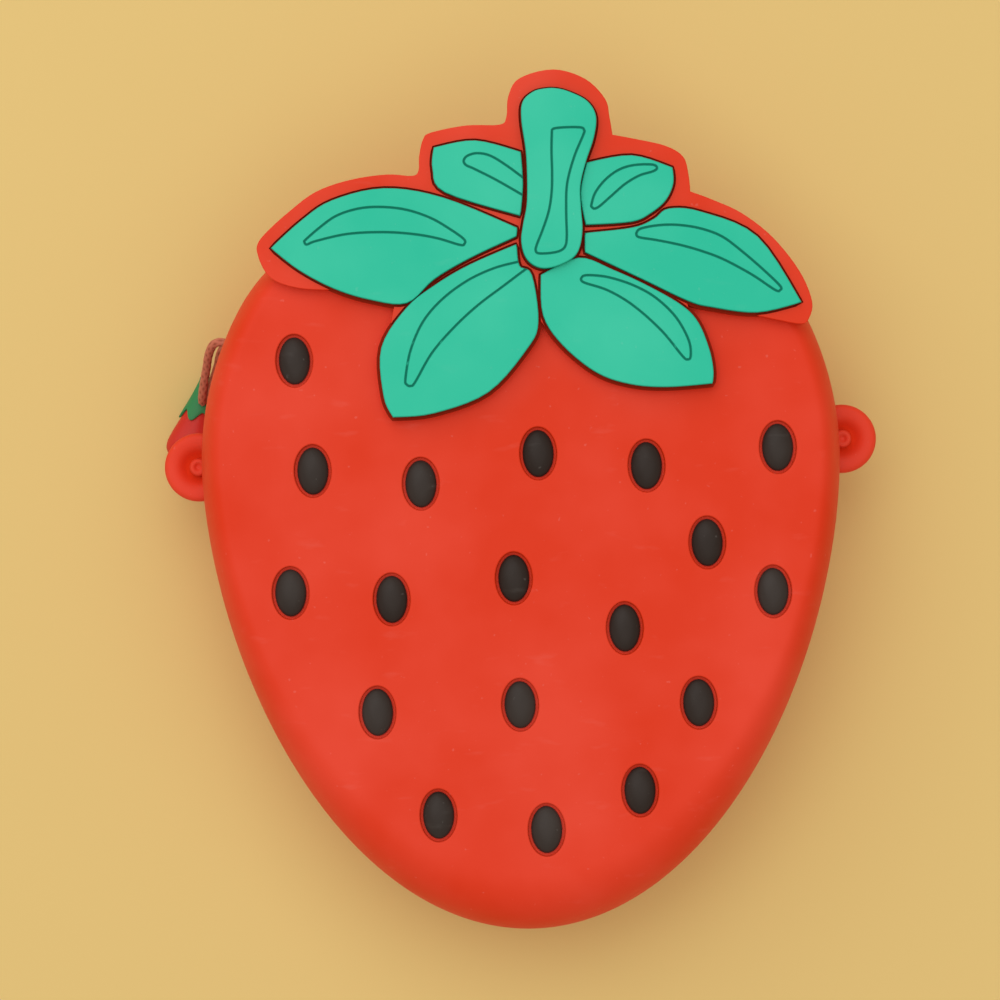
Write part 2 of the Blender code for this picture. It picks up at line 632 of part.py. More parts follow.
def add_lugs():
    """A lug on each side: a disc with a recess, cut to the bottom of the groove, and the stud in its recess."""
    angles = [2 * math.pi * (k + 0.5) / RIM_STEPS for k in range(RIM_STEPS)]
    root_inset = SEAM_GROOVE_DEPTH - GAP
    floor = MIDDLE_Z - LUG_THICKNESS
    ceiling = MIDDLE_Z + LUG_THICKNESS
    rings = []
    for height in (floor, ceiling):
        rings.append(
            [
                outline_point(a) + inward_normal(a) * root_inset + Vector((0, CENTRE_Y, height))
                for a in angles
            ]
        )
    body_cutter = add_cutter("lug_root", loft(rings))
    top = MIDDLE_Z + LUG_THICKNESS / 2
    for side, sign, above in (("left", -1, LEFT_LUG_ABOVE_CENTRE), ("right", 1, RIGHT_LUG_ABOVE_CENTRE)):
        centre = Vector((sign * LUG_CENTRE_X, CENTRE_Y + above, MIDDLE_Z))
        disc = ellipse_cylinder(
            centre, LUG_RADIUS, LUG_RADIUS, MIDDLE_Z - LUG_THICKNESS / 2, top, LUG_SEGMENTS
        )
        rim = [edge for edge in disc.edges if abs(edge.verts[0].co.z - edge.verts[1].co.z) < GAP]
        bmesh.ops.bevel(
            disc,
            geom=rim,
            offset=LUG_EDGE_ROUND,
            segments=LUG_EDGE_SEGMENTS,
            profile=0.5,
            affect="EDGES",
            material=-1,
        )
        name = f"strap_lug_{side}"
        lug = add_object(name, mesh_from(name, disc), RED, PARTS)
        recess = ellipse_cylinder(
            centre, LUG_RECESS_RADIUS, LUG_RECESS_RADIUS, top - LUG_RECESS_DEPTH, top + OVERRUN, ROUND_SEGMENTS
        )
        boolean(lug, add_cutter(f"lug_recess_{side}", recess))
        boolean(lug, body_cutter)

        profile = [
            (0.0, STUD_HEIGHT - STUD_DIMPLE_DEPTH),
            (STUD_DIMPLE_RADIUS, STUD_HEIGHT),
            (STUD_RADIUS - STUD_DIMPLE_DEPTH / 2, STUD_HEIGHT),
            (STUD_RADIUS, STUD_HEIGHT - STUD_DIMPLE_DEPTH / 2),
            (STUD_RADIUS, 0.0),
            (0.0, 0.0),
        ]
        bm = bmesh.new()
        verts = [bm.verts.new((x, 0, z)) for x, z in profile]
        edges = [bm.edges.new(pair) for pair in zip(verts, verts[1:])]
        bmesh.ops.spin(
            bm,
            geom=verts + edges,
            axis=(0, 0, 1),
            cent=(0, 0, 0),
            steps=ROUND_SEGMENTS,
            angle=2 * math.pi,
            use_merge=True,
        )
        bmesh.ops.remove_doubles(bm, verts=bm.verts, dist=MERGE_DISTANCE)
        name = f"strap_stud_{side}"
        stud = add_object(name, mesh_from(name, bm), RED, PARTS)
        stud.location = Vector((centre.x, centre.y, top - LUG_RECESS_DEPTH + GAP))


def charm_frame():
    """The charm's own axes: from its top to its tip, and across it."""
    lean = math.radians(CHARM_LEAN_DEG)
    along = Vector((-math.sin(lean), -math.cos(lean), 0))
    across = Vector((along.y, -along.x, 0))
    return along, across


def charm_ring(places, half_widths, half_thicknesses):
    along, across = charm_frame()
    ring = []
    for k, (place, half_width, half_thickness) in enumerate(zip(places, half_widths, half_thicknesses)):
        turn = 2 * math.pi * k / len(places)
        offset = across * (half_width * math.cos(turn)) + Vector((0, 0, half_thickness * math.sin(turn)))
        ring.append(CHARM_TOP + along * place + offset)
    return ring


def fruit_width(share):
    """The fruit's half width, as a share of its widest, at a share of its length."""
    for (start, before), (end, after) in zip(CHARM_PROFILE_SHARES, CHARM_PROFILE_SHARES[1:]):
        if share <= end:
            return before + (after - before) * (max(share, start) - start) / (end - start)
    return CHARM_PROFILE_SHARES[-1][1]


def fruit_rings(grown):
    return [
        charm_ring(
            [CHARM_LENGTH * share - (grown if share == 0 else 0)] * CHARM_SEGMENTS,
            [CHARM_HALF_WIDTH * width + grown] * CHARM_SEGMENTS,
            [CHARM_HALF_THICKNESS * width + grown] * CHARM_SEGMENTS,
        )
        for share, width in CHARM_PROFILE_SHARES
    ]


def add_charm():
    """The fruit, and its leaf cap: a lobed cup over the fruit's shoulder."""
    fruit = add_object("charm_fruit", mesh_from("charm_fruit", loft(fruit_rings(0.0))), RED, PARTS)
    rings = []
    for share in CAP_RING_SHARES:
        places, widths, thicknesses = [], [], []
        for k in range(CHARM_SEGMENTS):
            lobe = math.cos(CAP_LOBES * 2 * math.pi * k / CHARM_SEGMENTS)
            place = CAP_LENGTH * share * (1 + CAP_LOBE_SHARE * share * lobe) - CAP_THICKNESS - GAP
            width = fruit_width(place / CHARM_LENGTH) * (CAP_TOP_SHARE if share == 0 else 1)
            places.append(place)
            widths.append(CHARM_HALF_WIDTH * width + CAP_THICKNESS + GAP)
            thicknesses.append(CHARM_HALF_THICKNESS * width + CAP_THICKNESS + GAP)
        rings.append(charm_ring(places, widths, thicknesses))
    cap = add_object("charm_leaf_cap", mesh_from("charm_leaf_cap", loft(rings)), CHARM_GREEN, PARTS)
    boolean(cap, add_cutter("cap_hollow", loft(fruit_rings(GAP))))
    return [fruit, cap]


def smooth_route(points, steps):
    """Points on the curve through a list of points, with steps of them to each stretch."""
    route = []
    for k in range(len(points) - 1):
        before = points[max(k - 1, 0)]
        start, end = points[k], points[k + 1]
        after = points[min(k + 2, len(points) - 1)]
        for step in range(steps):
            t = step / steps
            route.append(
                0.5
                * (
                    2 * start
                    + (end - before) * t
                    + (2 * before - 5 * start + 4 * end - after) * t * t
                    + (3 * start - before - 3 * end + after) * t * t * t
                )
            )
    return route + [points[-1]]


def add_round_wire(name, route, radius, material):
    curve = bpy.data.curves.new(name, "CURVE")
    curve.dimensions = "3D"
    curve.bevel_depth = radius
    curve.bevel_resolution = WIRE_RESOLUTION
    curve.use_fill_caps = True
    spline = curve.splines.new("POLY")
    spline.points.add(len(route) - 1)
    for point, place in zip(spline.points, route):
        point.co = (*place, 1.0)
    return add_object(name, curve, material, PARTS)


def add_loop():
    """The cord from the charm's cap up one strand, under the slider's crown and down the other strand."""
    points = [CROWN_FOOT + Vector(offset) for offset in LOOP_ROUTE]
    return add_round_wire("pull_loop", smooth_route(points, LOOP_STEPS), CORD_RADIUS, CORD_RED)


def main():
    lower, upper = add_shells()
    lifted = [upper] + add_seeds(lower, upper) + add_calyx() + add_zip()
    slider, eye = add_slider()
    add_lugs()
    charm = add_charm()
    loop = add_loop()
    mouth_axis = add_axis("mouth_axis", (0, FLEX_LINE_Y, FACE_Z))
    zip_axis = add_axis("zip_axis", (0, CENTRE_Y, MIDDLE_Z))
    swing_axis = add_axis("charm_swing_axis", eye)
    turn_axis = add_axis("charm_turn_axis", CHARM_TOP - Vector((0, CHARM_TURN_DROP, 0)))
    parent_to(mouth_axis, lifted)
    parent_to(turn_axis, charm)
    parent_to(swing_axis, [loop, turn_axis])
    parent_to(zip_axis, slider + [swing_axis])
    for obj in PARTS.objects:
        if obj.type == "MESH":
            obj.data.shade_smooth()
            obj.data.set_sharp_from_angle(angle=math.radians(SHARP_ANGLE_DEG))


clear_scene()
PARTS = make_collection("strawberry_bag")
CUTTERS = make_collection("cutters")
RED = make_material("red_silicone", (0.78, 0.07, 0.03), 0.55)
GREEN = make_material("green_silicone", (0.05, 0.6, 0.4), 0.55)
BLACK = make_material("black_silicone", (0.03, 0.025, 0.02), 0.5)
TAPE_RED = make_material("zip_tape_fabric", (0.5, 0.05, 0.03), 0.9)
DARK_METAL = make_material("zip_metal", (0.35, 0.33, 0.3), 0.35, 1.0)
CORD_RED = make_material("braided_cord", (0.45, 0.06, 0.03), 0.9)
CHARM_GREEN = make_material("charm_green_silicone", (0.05, 0.3, 0.13), 0.55)
main()
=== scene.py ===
"""Looks of the strawberry-shaped silicone bag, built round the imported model. Metres, +Z out of the front face."""

import math

import bmesh
import bpy
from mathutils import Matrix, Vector


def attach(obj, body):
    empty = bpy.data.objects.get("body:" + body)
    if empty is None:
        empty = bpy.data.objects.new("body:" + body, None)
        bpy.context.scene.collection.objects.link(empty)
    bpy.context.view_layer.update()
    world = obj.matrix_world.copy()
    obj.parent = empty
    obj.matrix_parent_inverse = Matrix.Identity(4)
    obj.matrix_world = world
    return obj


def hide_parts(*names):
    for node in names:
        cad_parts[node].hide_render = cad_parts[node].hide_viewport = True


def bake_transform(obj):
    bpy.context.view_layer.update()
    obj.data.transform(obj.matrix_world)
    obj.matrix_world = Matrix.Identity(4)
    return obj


bl_info = {
    "name": "Strawberry Silicone Bag",
    "version": (1, 0, 0),
    "blender": (4, 5, 0),
    "location": "View3D > Sidebar > Strawberry Bag",
    "description": "Dresses a strawberry-shaped silicone bag: shells, seeds, calyx, zip, lugs, cord loop and charm",
    "category": "Object",
}

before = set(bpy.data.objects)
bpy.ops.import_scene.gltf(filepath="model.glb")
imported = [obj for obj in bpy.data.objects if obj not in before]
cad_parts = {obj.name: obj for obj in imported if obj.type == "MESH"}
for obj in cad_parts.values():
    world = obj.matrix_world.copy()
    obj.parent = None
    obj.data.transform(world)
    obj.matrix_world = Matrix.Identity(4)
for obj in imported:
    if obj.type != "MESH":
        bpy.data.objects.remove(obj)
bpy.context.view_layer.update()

# Body
BODY_RADIUS = 0.0646
BODY_DEPTH = 0.0951
BODY_THICKNESS = 0.038
LOWER_OUTLINE_POWER = 1.75
TOP_FLAT_SHARE = 0.06
TOP_FLAT_START = 0.5
CENTRE_Y = 0.0090807
MIDDLE_Z = BODY_THICKNESS / 2
FACE_Z = BODY_THICKNESS
WALL = 0.0022
FRONT_SIDE_BAND = 0.005
FRONT_TIP_BAND = 0.0118
BACK_SIDE_BAND = 0.015
BACK_TIP_BAND = 0.016
WIDEST_HEIGHT = 0.0066
INNER_WIDEST_HEIGHT = 0.0088
RIM_STEP = 0.0004
FACE_SUPPORT = 0.0005

# Groove round the edge
GROOVE_HALF_WIDTH = 0.0044
SEAM_GROOVE_DEPTH = 0.003
ZIP_GROOVE_DEPTH = 0.0055
ZIP_GROOVE_START_DEG = 5.0
ZIP_GROOVE_FULL_DEG = 10.0
SEAM_HALF_GAP = 0.00001  # bonded below the zip, so the shells all but touch

# Fineness: steps and stations of each form, and the angles that tell smooth from sharp
STATIONS = 240
BAND_STEPS = 14
ROLL_STEPS = 7
INNER_BAND_STEPS = 8
OVAL_STATIONS = 48
ROUND_STATIONS = 72
ROUNDING_STEPS = 5
ARC_STEPS = 150
OUTLINE_STEPS = 5
OUTLINE_STEP_DEG = 0.5
CORNER_ANGLE_DEG = 58.0
SHARP_ANGLE_DEG = 32.0
MERGE_DISTANCE = 1e-6
EDGE_ANGLE_DEG = 60.0
SMALL_ROUNDING_STEPS = 2
CARVED_STEPS = 6
CROWN_STEPS = 4
CROWN_SIDES = 16
CORD_ROUTE_STEPS = 12
SEED_ROWS = 24
CHARM_STATIONS = 60
CHARM_STEPS = 32

# The band of heights across the face where the front would flex open, and where flat faces are cut across
BEND_START = (0.0, 0.0225, FACE_Z)
BEND_END = (0.0, 0.0545, FACE_Z)
BEND_CUT_STEP = 0.002

# Seeds and their recesses
SEED_HALF_LENGTH = 0.0047
SEED_HALF_WIDTH = 0.0031
SEED_DOME_HEIGHT = 0.0019
RECESS_MARGIN = 0.0006
RECESS_DEPTH = 0.0012
RECESS_SUPPORT = 0.00015
RECESS_FLOOR_ROUND = 0.00025

# Calyx. A pocket is sunk in the plate round each leaf, and a ledge under it carries what the plate doesn't reach. The
# pocket floors and the ledge tops are painted dark, as painted shade in the gaps round the leaves
OVERLAP = 0.0001
PLATE_BASE = FACE_Z - OVERLAP
PLATE_TOP = 0.0408
POCKET_FLOOR = 0.0402
POCKET_MARGIN = 0.0006
LEDGE_DROP = 0.00005
LEDGE_GROW = 0.0008
LEAF_BASE = POCKET_FLOOR - OVERLAP
LEAF_GROW = 0.00012
LEAF_TOP = 0.0419
STEM_TOP = 0.0432
INSET_SUPPORT = 0.00012
CARVING_RADIUS_SHARE = 0.55
CARVING_RISE_SHARE = 0.12
CARVING_BAR_STEPS = 3
# Painted shade on the leaves: full this far down a carved line, and this share of full at the foot of a leaf's
# rounding, growing to full below the plate's top
PAINTED_SHADE_DEPTH = 0.0002
SIDE_PAINTED_SHADE_SHARE = 0.6

# Lugs and studs
LUG_RADIUS = 0.007
LUG_HALF_THICKNESS = 0.0025
LUG_CENTRE_X = 0.0658
LEFT_LUG_ABOVE_CENTRE = 0.0002
RIGHT_LUG_ABOVE_CENTRE = 0.0026
LUG_ROOT_X = 0.0617
LUG_EDGE_ROUND = 0.0012
STUD_BASE = 0.0203

# Zip, an arc about the zip's centre. Heights are over the middle. The tapes close up past the angles named MEET
ZIP_RADIUS = 0.0585
TAPE_HALF_THICKNESS = 0.0003
TAPE_NEAR = 0.0027
TAPE_FAR = 0.0066
TAPE_START_DEG = 4.5
TAPE_END_DEG = 175.5
TAPE_MEET = 0.00015
TAPE_MEET_START_DEG = 10.6
TAPE_MEET_END_DEG = 165.2
TAPE_MEET_SPAN_DEG = 2.4
TEETH_COUNT = 36
TEETH_START_DEG = 13.2
TEETH_END_DEG = 161.8
TOOTH_SHARE = 0.5
FRONT_STAGGER_SHARE = 0.25
TOOTH_HALF_THICKNESS = 0.0012
TOOTH_TIP = 0.0006
TOOTH_ROOT = 0.0024
TOOTH_ROUND = 0.0004
BACKING_NEAR = 0.0016
BACKING_HALF_THICKNESS = 0.0006
SLIDER_REST_DEG = 157.0
CROWN_BASE_RADIUS = 0.0615
CROWN_WIRE_RADIUS = 0.0005
CROWN_HALF_LENGTH = 0.0026
CROWN_HEIGHT = 0.0031
CROWN_LEG_SHARES = [(1, 0), (1, 0.35), (0.97, 0.62), (0.85, 0.85), (0.62, 0.97), (0.3, 1)]
CROWN_ROUTE_SHARES = [(-side, rise) for side, rise in CROWN_LEG_SHARES] + [(0, 1)] + CROWN_LEG_SHARES[::-1]

# Cord loop and charm
CHARM_TOP = Vector((-0.0650, CENTRE_Y + 0.0184, 0.0053))
CHARM_LEAN_DEG = 15.5
CHARM_LENGTH = 0.0185
CHARM_HALF_WIDTH = 0.0052
CHARM_HALF_THICKNESS = 0.0038
CAP_THICKNESS = 0.0006
CAP_LENGTH = 0.0087
CAP_LOBES = 5
CAP_LOBE_SHARE = 0.12
GAP = 0.0003
CORD_STEP = 0.0003
CORD_SIDES = 24
BRAID_STRANDS = 8
BRAID_PITCH = 0.0042

# The cord's middle line, in tenths of a millimetre, +X right, +Y up from the zip's centre and +Z from the floor
LOOP_ROUTE = [
    (-659, 139, 74), (-658, 148, 92), (-655, 161, 107), (-651, 177, 121), (-646, 194, 136), (-641, 211, 152),
    (-637, 226, 169), (-631, 240, 186), (-623, 251, 202), (-612, 256, 212), (-600, 255, 215), (-589, 250, 213),
    (-582, 247, 207), (-577, 245, 199), (-575, 244, 190), (-577, 245, 181), (-582, 247, 173), (-589, 249, 167),
    (-598, 250, 163), (-606, 246, 160), (-612, 237, 154), (-616, 226, 146), (-619, 215, 137), (-624, 202, 128),
    (-630, 187, 118), (-635, 172, 109), (-639, 159, 98), (-642, 148, 86), (-643, 140, 70),
]

# Camera, straight above the object
CAMERA_PLACE = (-0.004416, 0.000994, 0.669)
CAMERA_TURN_DEG = -1.5
CAMERA_LENS = 114.15
SENSOR_WIDTH = 36.0

# Stage, with each softbox's name, place, size and power
FLOOR_HALF_SIZE = 1.6
FLOOR_CELLS = 8
SOFTBOXES = (
    ("softbox_top", (-0.45, 0.65, 0.95), 1.3, 5.2),
    ("softbox_over", (0.1, 0.1, 1.5), 2.0, 9.5),
)
WORLD_COLOUR = (1.0, 0.86, 0.66)
WORLD_STRENGTH = 0.52

# Nodes, laid out in columns from the left
NODE_ROWS = 4
NODE_COLUMNS = 9
NODE_WIDTH = 200
NODE_HEIGHT = 300

# Silicone. A shade is a share of its colour, or towards white where it is over 1
GLOSS = 0.18
# Gloss where a piece's painted shade is full
PAINTED_SHADE_GLOSS = 0.036
MOULD_GRAIN = 0.12
PATCH_SHADES = (0.93, 1.02)
RUBBED_SHADE = 1.16
SPECK_SHADE = 1.3

# Braid. Its colour is painted darker between the strands, as painted shade, and lighter on their tops, as a painted
# highlight
BRAID_GROOVE_PAINTED_SHADE = 0.45
BRAID_RELIEF = 0.16
STRAY_FIBRE_SHARE = 0.15

# Places across the face, in thousandths of the body's radius about the zip's centre, +X right and +Y up
PLATE_OUTLINE = [
    (-756, 576), (-777, 606), (-791, 643), (-793, 675), (-768, 710), (-696, 773), (-608, 835), (-500, 869),
    (-389, 882), (-312, 876), (-292, 892), (-289, 934), (-276, 986), (-251, 1007), (-143, 1026), (-40, 1026),
    (-18, 1050), (-11, 1111), (24, 1166), (129, 1191), (226, 1160), (286, 1097), (298, 1042), (306, 986),
    (372, 972), (467, 948), (521, 913), (536, 857), (540, 806), (607, 779), (695, 736), (788, 660), (868, 554),
    (905, 458), (891, 402), (866, 391), (805, 403), (744, 418), (683, 432), (607, 450), (600, 470), (520, 470),
    (545, 380), (575, 282), (566, 236), (420, 231), (291, 240), (161, 311), (72, 418), (15, 349), (-105, 223),
    (-267, 163), (-377, 156), (-399, 206), (-401, 347), (-372, 505), (-470, 528), (-540, 533), (-604, 534),
    (-665, 540), (-720, 555),
]
LEAF_OUTLINES = {
    "leaf_left": [
        (-748, 664), (-655, 744), (-559, 804), (-399, 837), (-219, 804), (5, 706), (2, 682), (-140, 620),
        (-252, 558), (-338, 487), (-450, 500), (-560, 537), (-665, 596),
    ],
    "leaf_upper_left": [
        (-242, 958), (-116, 976), (22, 938), (26, 840), (16, 745), (-212, 823), (-247, 894),
    ],
    "leaf_upper_right": [
        (225, 900), (363, 918), (485, 878), (486, 830), (462, 780), (415, 742), (357, 718), (217, 712), (204, 808),
    ],
    "leaf_right": [
        (214, 684), (360, 697), (426, 722), (472, 752), (570, 740), (740, 660), (869, 457), (734, 430), (596, 450),
        (524, 471), (388, 540), (213, 628),
    ],
    "leaf_lower_right": [
        (191, 609), (76, 560), (80, 437), (138, 344), (238, 259), (339, 221), (451, 209), (591, 216), (594, 255),
        (584, 317), (553, 400), (505, 454), (408, 514), (297, 569),
    ],
    "leaf_lower_left": [
        (2, 655), (9, 590), (46, 561), (62, 417), (27, 338), (-96, 207), (-264, 147), (-389, 138), (-415, 203),
        (-418, 350), (-338, 470), (-245, 540), (-141, 597),
    ],
}
STEM_OUTLINE = [
    (136, 1127), (177, 1115), (229, 1086), (254, 1040), (246, 976), (220, 903), (201, 830), (201, 760), (204, 699),
    (195, 644), (174, 611), (128, 588), (85, 581), (51, 593), (28, 621), (19, 667), (26, 716), (40, 789),
    (41, 926), (29, 1034), (34, 1089), (65, 1118), (99, 1127),
]

# Each carved line, and whether it closes on itself
CARVED_LINES = {
    "leaf_left": (True, [
        (-647, 683), (-605, 718), (-548, 757), (-478, 778), (-406, 781), (-330, 770), (-257, 743), (-200, 708),
        (-158, 676), (-157, 661), (-172, 659), (-240, 681), (-316, 696), (-408, 704), (-515, 701), (-611, 682),
        (-640, 672),
    ]),
    "leaf_upper_left": (False, [
        (40, 850), (-20, 897), (-70, 929), (-110, 938), (-140, 931), (-152, 917), (-146, 903), (-120, 890),
        (-60, 858), (0, 822), (40, 797),
    ]),
    "leaf_upper_right": (True, [
        (234, 767), (247, 806), (279, 846), (322, 876), (369, 889), (425, 889), (439, 878), (425, 868), (385, 857),
        (340, 832), (295, 795), (260, 766), (243, 759),
    ]),
    "leaf_right": (True, [
        (370, 680), (384, 694), (440, 703), (502, 702), (570, 689), (635, 662), (700, 610), (760, 555), (806, 508),
        (806, 495), (790, 496), (720, 545), (634, 594), (565, 622), (500, 642), (430, 658), (378, 668),
    ]),
    "leaf_lower_right": (True, [
        (197, 545), (208, 555), (245, 554), (292, 545), (360, 520), (425, 481), (485, 420), (522, 349), (527, 300),
        (516, 290), (500, 303), (440, 380), (357, 458), (280, 507), (208, 533),
    ]),
    "leaf_lower_left": (False, [
        (60, 612), (5, 602), (-70, 584), (-152, 548), (-230, 493), (-290, 426), (-330, 340), (-348, 253),
        (-344, 235), (-332, 231), (-318, 243), (-265, 330), (-195, 407), (-120, 473), (-40, 530), (26, 577),
        (60, 598),
    ]),
    "stem": (True, [
        (120, 1001), (131, 1006), (170, 1008), (209, 1006), (218, 998), (216, 985), (185, 915), (162, 835),
        (157, 755), (157, 679), (152, 646), (135, 631), (105, 625), (70, 625), (61, 633), (64, 650), (85, 700),
        (104, 754), (114, 810), (117, 869), (117, 940),
    ]),
}
SEED_PLACES = [
    (-691, 320), (792, 15), (53, 15), (386, -31), (-643, -21), (-311, -69), (567, -273), (-32, -368), (766, -429),
    (-721, -395), (-410, -423), (306, -530), (528, -766), (-23, -758), (-463, -770), (340, -1032), (-283, -1092),
    (49, -1145),
]

# The charm's width from its shoulder to its tip, as shares (of its length, of its greatest width)
CHARM_PROFILE_SHARES = [
    (0.0, 0.20), (0.10, 0.28), (0.26, 0.43), (0.44, 0.63), (0.55, 0.77), (0.66, 0.89), (0.76, 0.97), (0.85, 0.94),
    (0.93, 0.72), (0.97, 0.42),
]

# The rings that close the fruit's tip, as shares (of its length, of its last width)
CHARM_TIP_SHARES = [(0.985, 0.75), (0.995, 0.4)]

# The cap's section, out over its top and back under it, as shares (of its length, thickness, the fruit's width)
CAP_SECTION_SHARES = [
    (0.0, 0.6, 0.55), (0.012, 0.85, 0.62),
    *((share, 1.0, 1.0) for share in (0.05, 0.1, 0.18, 0.28, 0.4, 0.52, 0.64, 0.76, 0.88)),
    (0.96, 0.95, 1.0), (0.99, 0.8, 1.0), (1.0, 0.5, 1.0),
    *((share, 1 / 6, 1.0) for share in (0.99, 0.8, 0.5, 0.3)),
]

# The lug's section from its axis outwards, as (radius, height under its top), and the stud's, over its base
LUG_SECTION = [
    (0.0, 0.0015), (0.0019, 0.0015), (0.0024, 0.00142), (0.0029, 0.00115), (0.0034, 0.0007), (0.0040, 0.00028),
    (0.0047, 0.00006), (0.0053, 0.0),
]
STUD_SECTION = [
    (0.0, 0.0014), (0.0004, 0.00145), (0.0007, 0.0017), (0.00095, 0.00188), (0.0012, 0.0019), (0.0015, 0.00182),
    (0.0017, 0.0016), (0.0018, 0.0012), (0.0018, 0.0), (0.0, 0.0),
]


def colour_setting(name, description, colour):
    return bpy.props.FloatVectorProperty(
        name=name, description=description, subtype="COLOR", min=0.0, max=1.0, default=colour
    )


def length_setting(name, description, low, high, length):
    return bpy.props.FloatProperty(
        name=name, description=description, unit="LENGTH", min=low, max=high, precision=5, default=length
    )


class BagColours(bpy.types.PropertyGroup):
    red: colour_setting("Red silicone", "Colour of the shells, the plate and the lugs", (0.80, 0.041, 0.009))
    green: colour_setting("Green silicone", "Colour of the leaves and the stem", (0.021, 0.60, 0.42))
    black: colour_setting("Black silicone", "Colour of the seeds", (0.026, 0.018, 0.016))
    tape: colour_setting("Zip tape", "Colour of the woven tape", (0.42, 0.030, 0.018))
    teeth: colour_setting("Zip teeth", "Colour of the resin teeth", (0.36, 0.022, 0.014))
    metal: colour_setting("Zip metal", "Colour of the slider, its crown and the stops", (0.52, 0.50, 0.47))
    cord: colour_setting("Cord", "Colour of the braided loop", (0.56, 0.105, 0.035))
    charm_red: colour_setting("Charm red", "Colour of the charm's fruit", (0.66, 0.030, 0.020))
    charm_green: colour_setting("Charm green", "Colour of the charm's leaf cap", (0.040, 0.27, 0.10))
    floor: colour_setting("Floor", "Colour of the pale floor", (0.775, 0.585, 0.235))


class BagSizes(bpy.types.PropertyGroup):
    recess_round: length_setting(
        "Recess edge", "Rounding of the edge of each seed's recess", 0.0001, 0.0006, 0.0003
    )
    plate_round: length_setting("Plate edge", "Rounding of the calyx plate's edge", 0.0002, 0.0016, 0.0011)
    leaf_round: length_setting("Leaf edge", "Rounding of the edge of the leaves and the stem", 0.0001, 0.0008, 0.0003)
    carving_width: length_setting(
        "Carved line", "Width of the lines carved in the leaves and the stem", 0.0003, 0.0015, 0.00055
    )
    cord_diameter: length_setting("Cord", "Diameter of the cord loop", 0.001, 0.003, 0.0018)


def smooth_step(value):
    value = min(1.0, max(0.0, value))
    return value * value * (3 - 2 * value)


def quarter_turn(steps, first=0):
    """The sine and cosine of each even step of a quarter turn."""
    turns = [math.pi / 2 * step / steps for step in range(first, steps + 1)]
    return [(math.sin(turn), math.cos(turn)) for turn in turns]


def outline_point(angle):
    """A point of the body's outline about the zip's centre."""
    if math.sin(angle) >= 0:
        flat = smooth_step((math.sin(angle) - TOP_FLAT_START) / (1 - TOP_FLAT_START))
        radius = BODY_RADIUS * (1 - TOP_FLAT_SHARE * flat)
        return Vector((radius * math.cos(angle), radius * math.sin(angle), 0))
    down = -math.sin(angle)
    half_width = BODY_RADIUS * math.sqrt(max(0.0, 1 - down**LOWER_OUTLINE_POWER))
    return Vector((math.copysign(half_width, math.cos(angle)), -BODY_DEPTH * down, 0))


def inward_normal(angle):
    step = math.radians(OUTLINE_STEP_DEG)
    along = outline_point(angle + step) - outline_point(angle - step)
    return Vector((-along.y, along.x, 0)).normalized()


def zip_share(angle):
    """1 where the groove holds the zip, 0 where the shells are bonded."""
    above_side = math.degrees(math.asin(max(-1.0, min(1.0, math.sin(angle)))))
    return smooth_step((above_side - ZIP_GROOVE_START_DEG) / (ZIP_GROOVE_FULL_DEG - ZIP_GROOVE_START_DEG))


def shell_section(angle, side_band, tip_band):
    """The wall's section as (inset, height over the middle), from the outer face round the rim to the inner face."""
    half = MIDDLE_Z
    lower = max(0.0, -math.sin(angle)) ** 2
    band = side_band + (tip_band - side_band) * lower
    held = zip_share(angle)
    zip_depth = ZIP_GROOVE_DEPTH - (BODY_RADIUS - outline_point(angle).length)
    depth = SEAM_GROOVE_DEPTH + (zip_depth - SEAM_GROOVE_DEPTH) * held
    section = [(band + FACE_SUPPORT, half)]
    for rise, run in reversed(quarter_turn(BAND_STEPS)):
        section.append((band * (1 - run), WIDEST_HEIGHT + (half - WIDEST_HEIGHT) * rise))
    for rise, run in quarter_turn(ROLL_STEPS, 1):
        section.append((depth * (1 - run), WIDEST_HEIGHT - (WIDEST_HEIGHT - GROOVE_HALF_WIDTH) * rise))
    rim = depth + WALL * (1 - held)
    for inset, lift in ((depth, RIM_STEP), (rim, WALL)):
        section.append((inset, SEAM_HALF_GAP + (GROOVE_HALF_WIDTH + lift - SEAM_HALF_GAP) * held))
    section.append((rim, GROOVE_HALF_WIDTH + WALL + RIM_STEP))
    for rise, run in quarter_turn(INNER_BAND_STEPS):
        height = INNER_WIDEST_HEIGHT + (half - WALL - INNER_WIDEST_HEIGHT) * rise
        section.append((band - (band - WALL) * run, height))
    section.append((band + FACE_SUPPORT, half - WALL))
    return section


def shell_rings(side_band, tip_band, facing):
    angles = [math.tau * (k + 0.5) / STATIONS for k in range(STATIONS)]
    sections = [shell_section(angle, side_band, tip_band) for angle in angles]
    rings = []
    for row in range(len(sections[0])):
        ring = []
        for angle, section in zip(angles, sections):
            inset, height = section[row]
            place = outline_point(angle) + inward_normal(angle) * inset
            ring.append(place + Vector((0, CENTRE_Y, MIDDLE_Z + facing * height)))
        rings.append(ring)
    return rings


def face_place(thousandths, height):
    x, y = (number / 1000 * BODY_RADIUS for number in thousandths)
    return Vector((x, CENTRE_Y + y, height))


def arc_point(radius, degrees, height):
    angle = math.radians(degrees)
    return Vector((radius * math.cos(angle), CENTRE_Y + radius * math.sin(angle), MIDDLE_Z + height))


def curve_between(before, start, end, after, t):
    """A point of the smooth curve through four points, between the middle two."""
    return 0.5 * (
        2 * start
        + (end - before) * t
        + (2 * before - 5 * start + 4 * end - after) * t * t
        + (3 * start - before - 3 * end + after) * t * t * t
    )


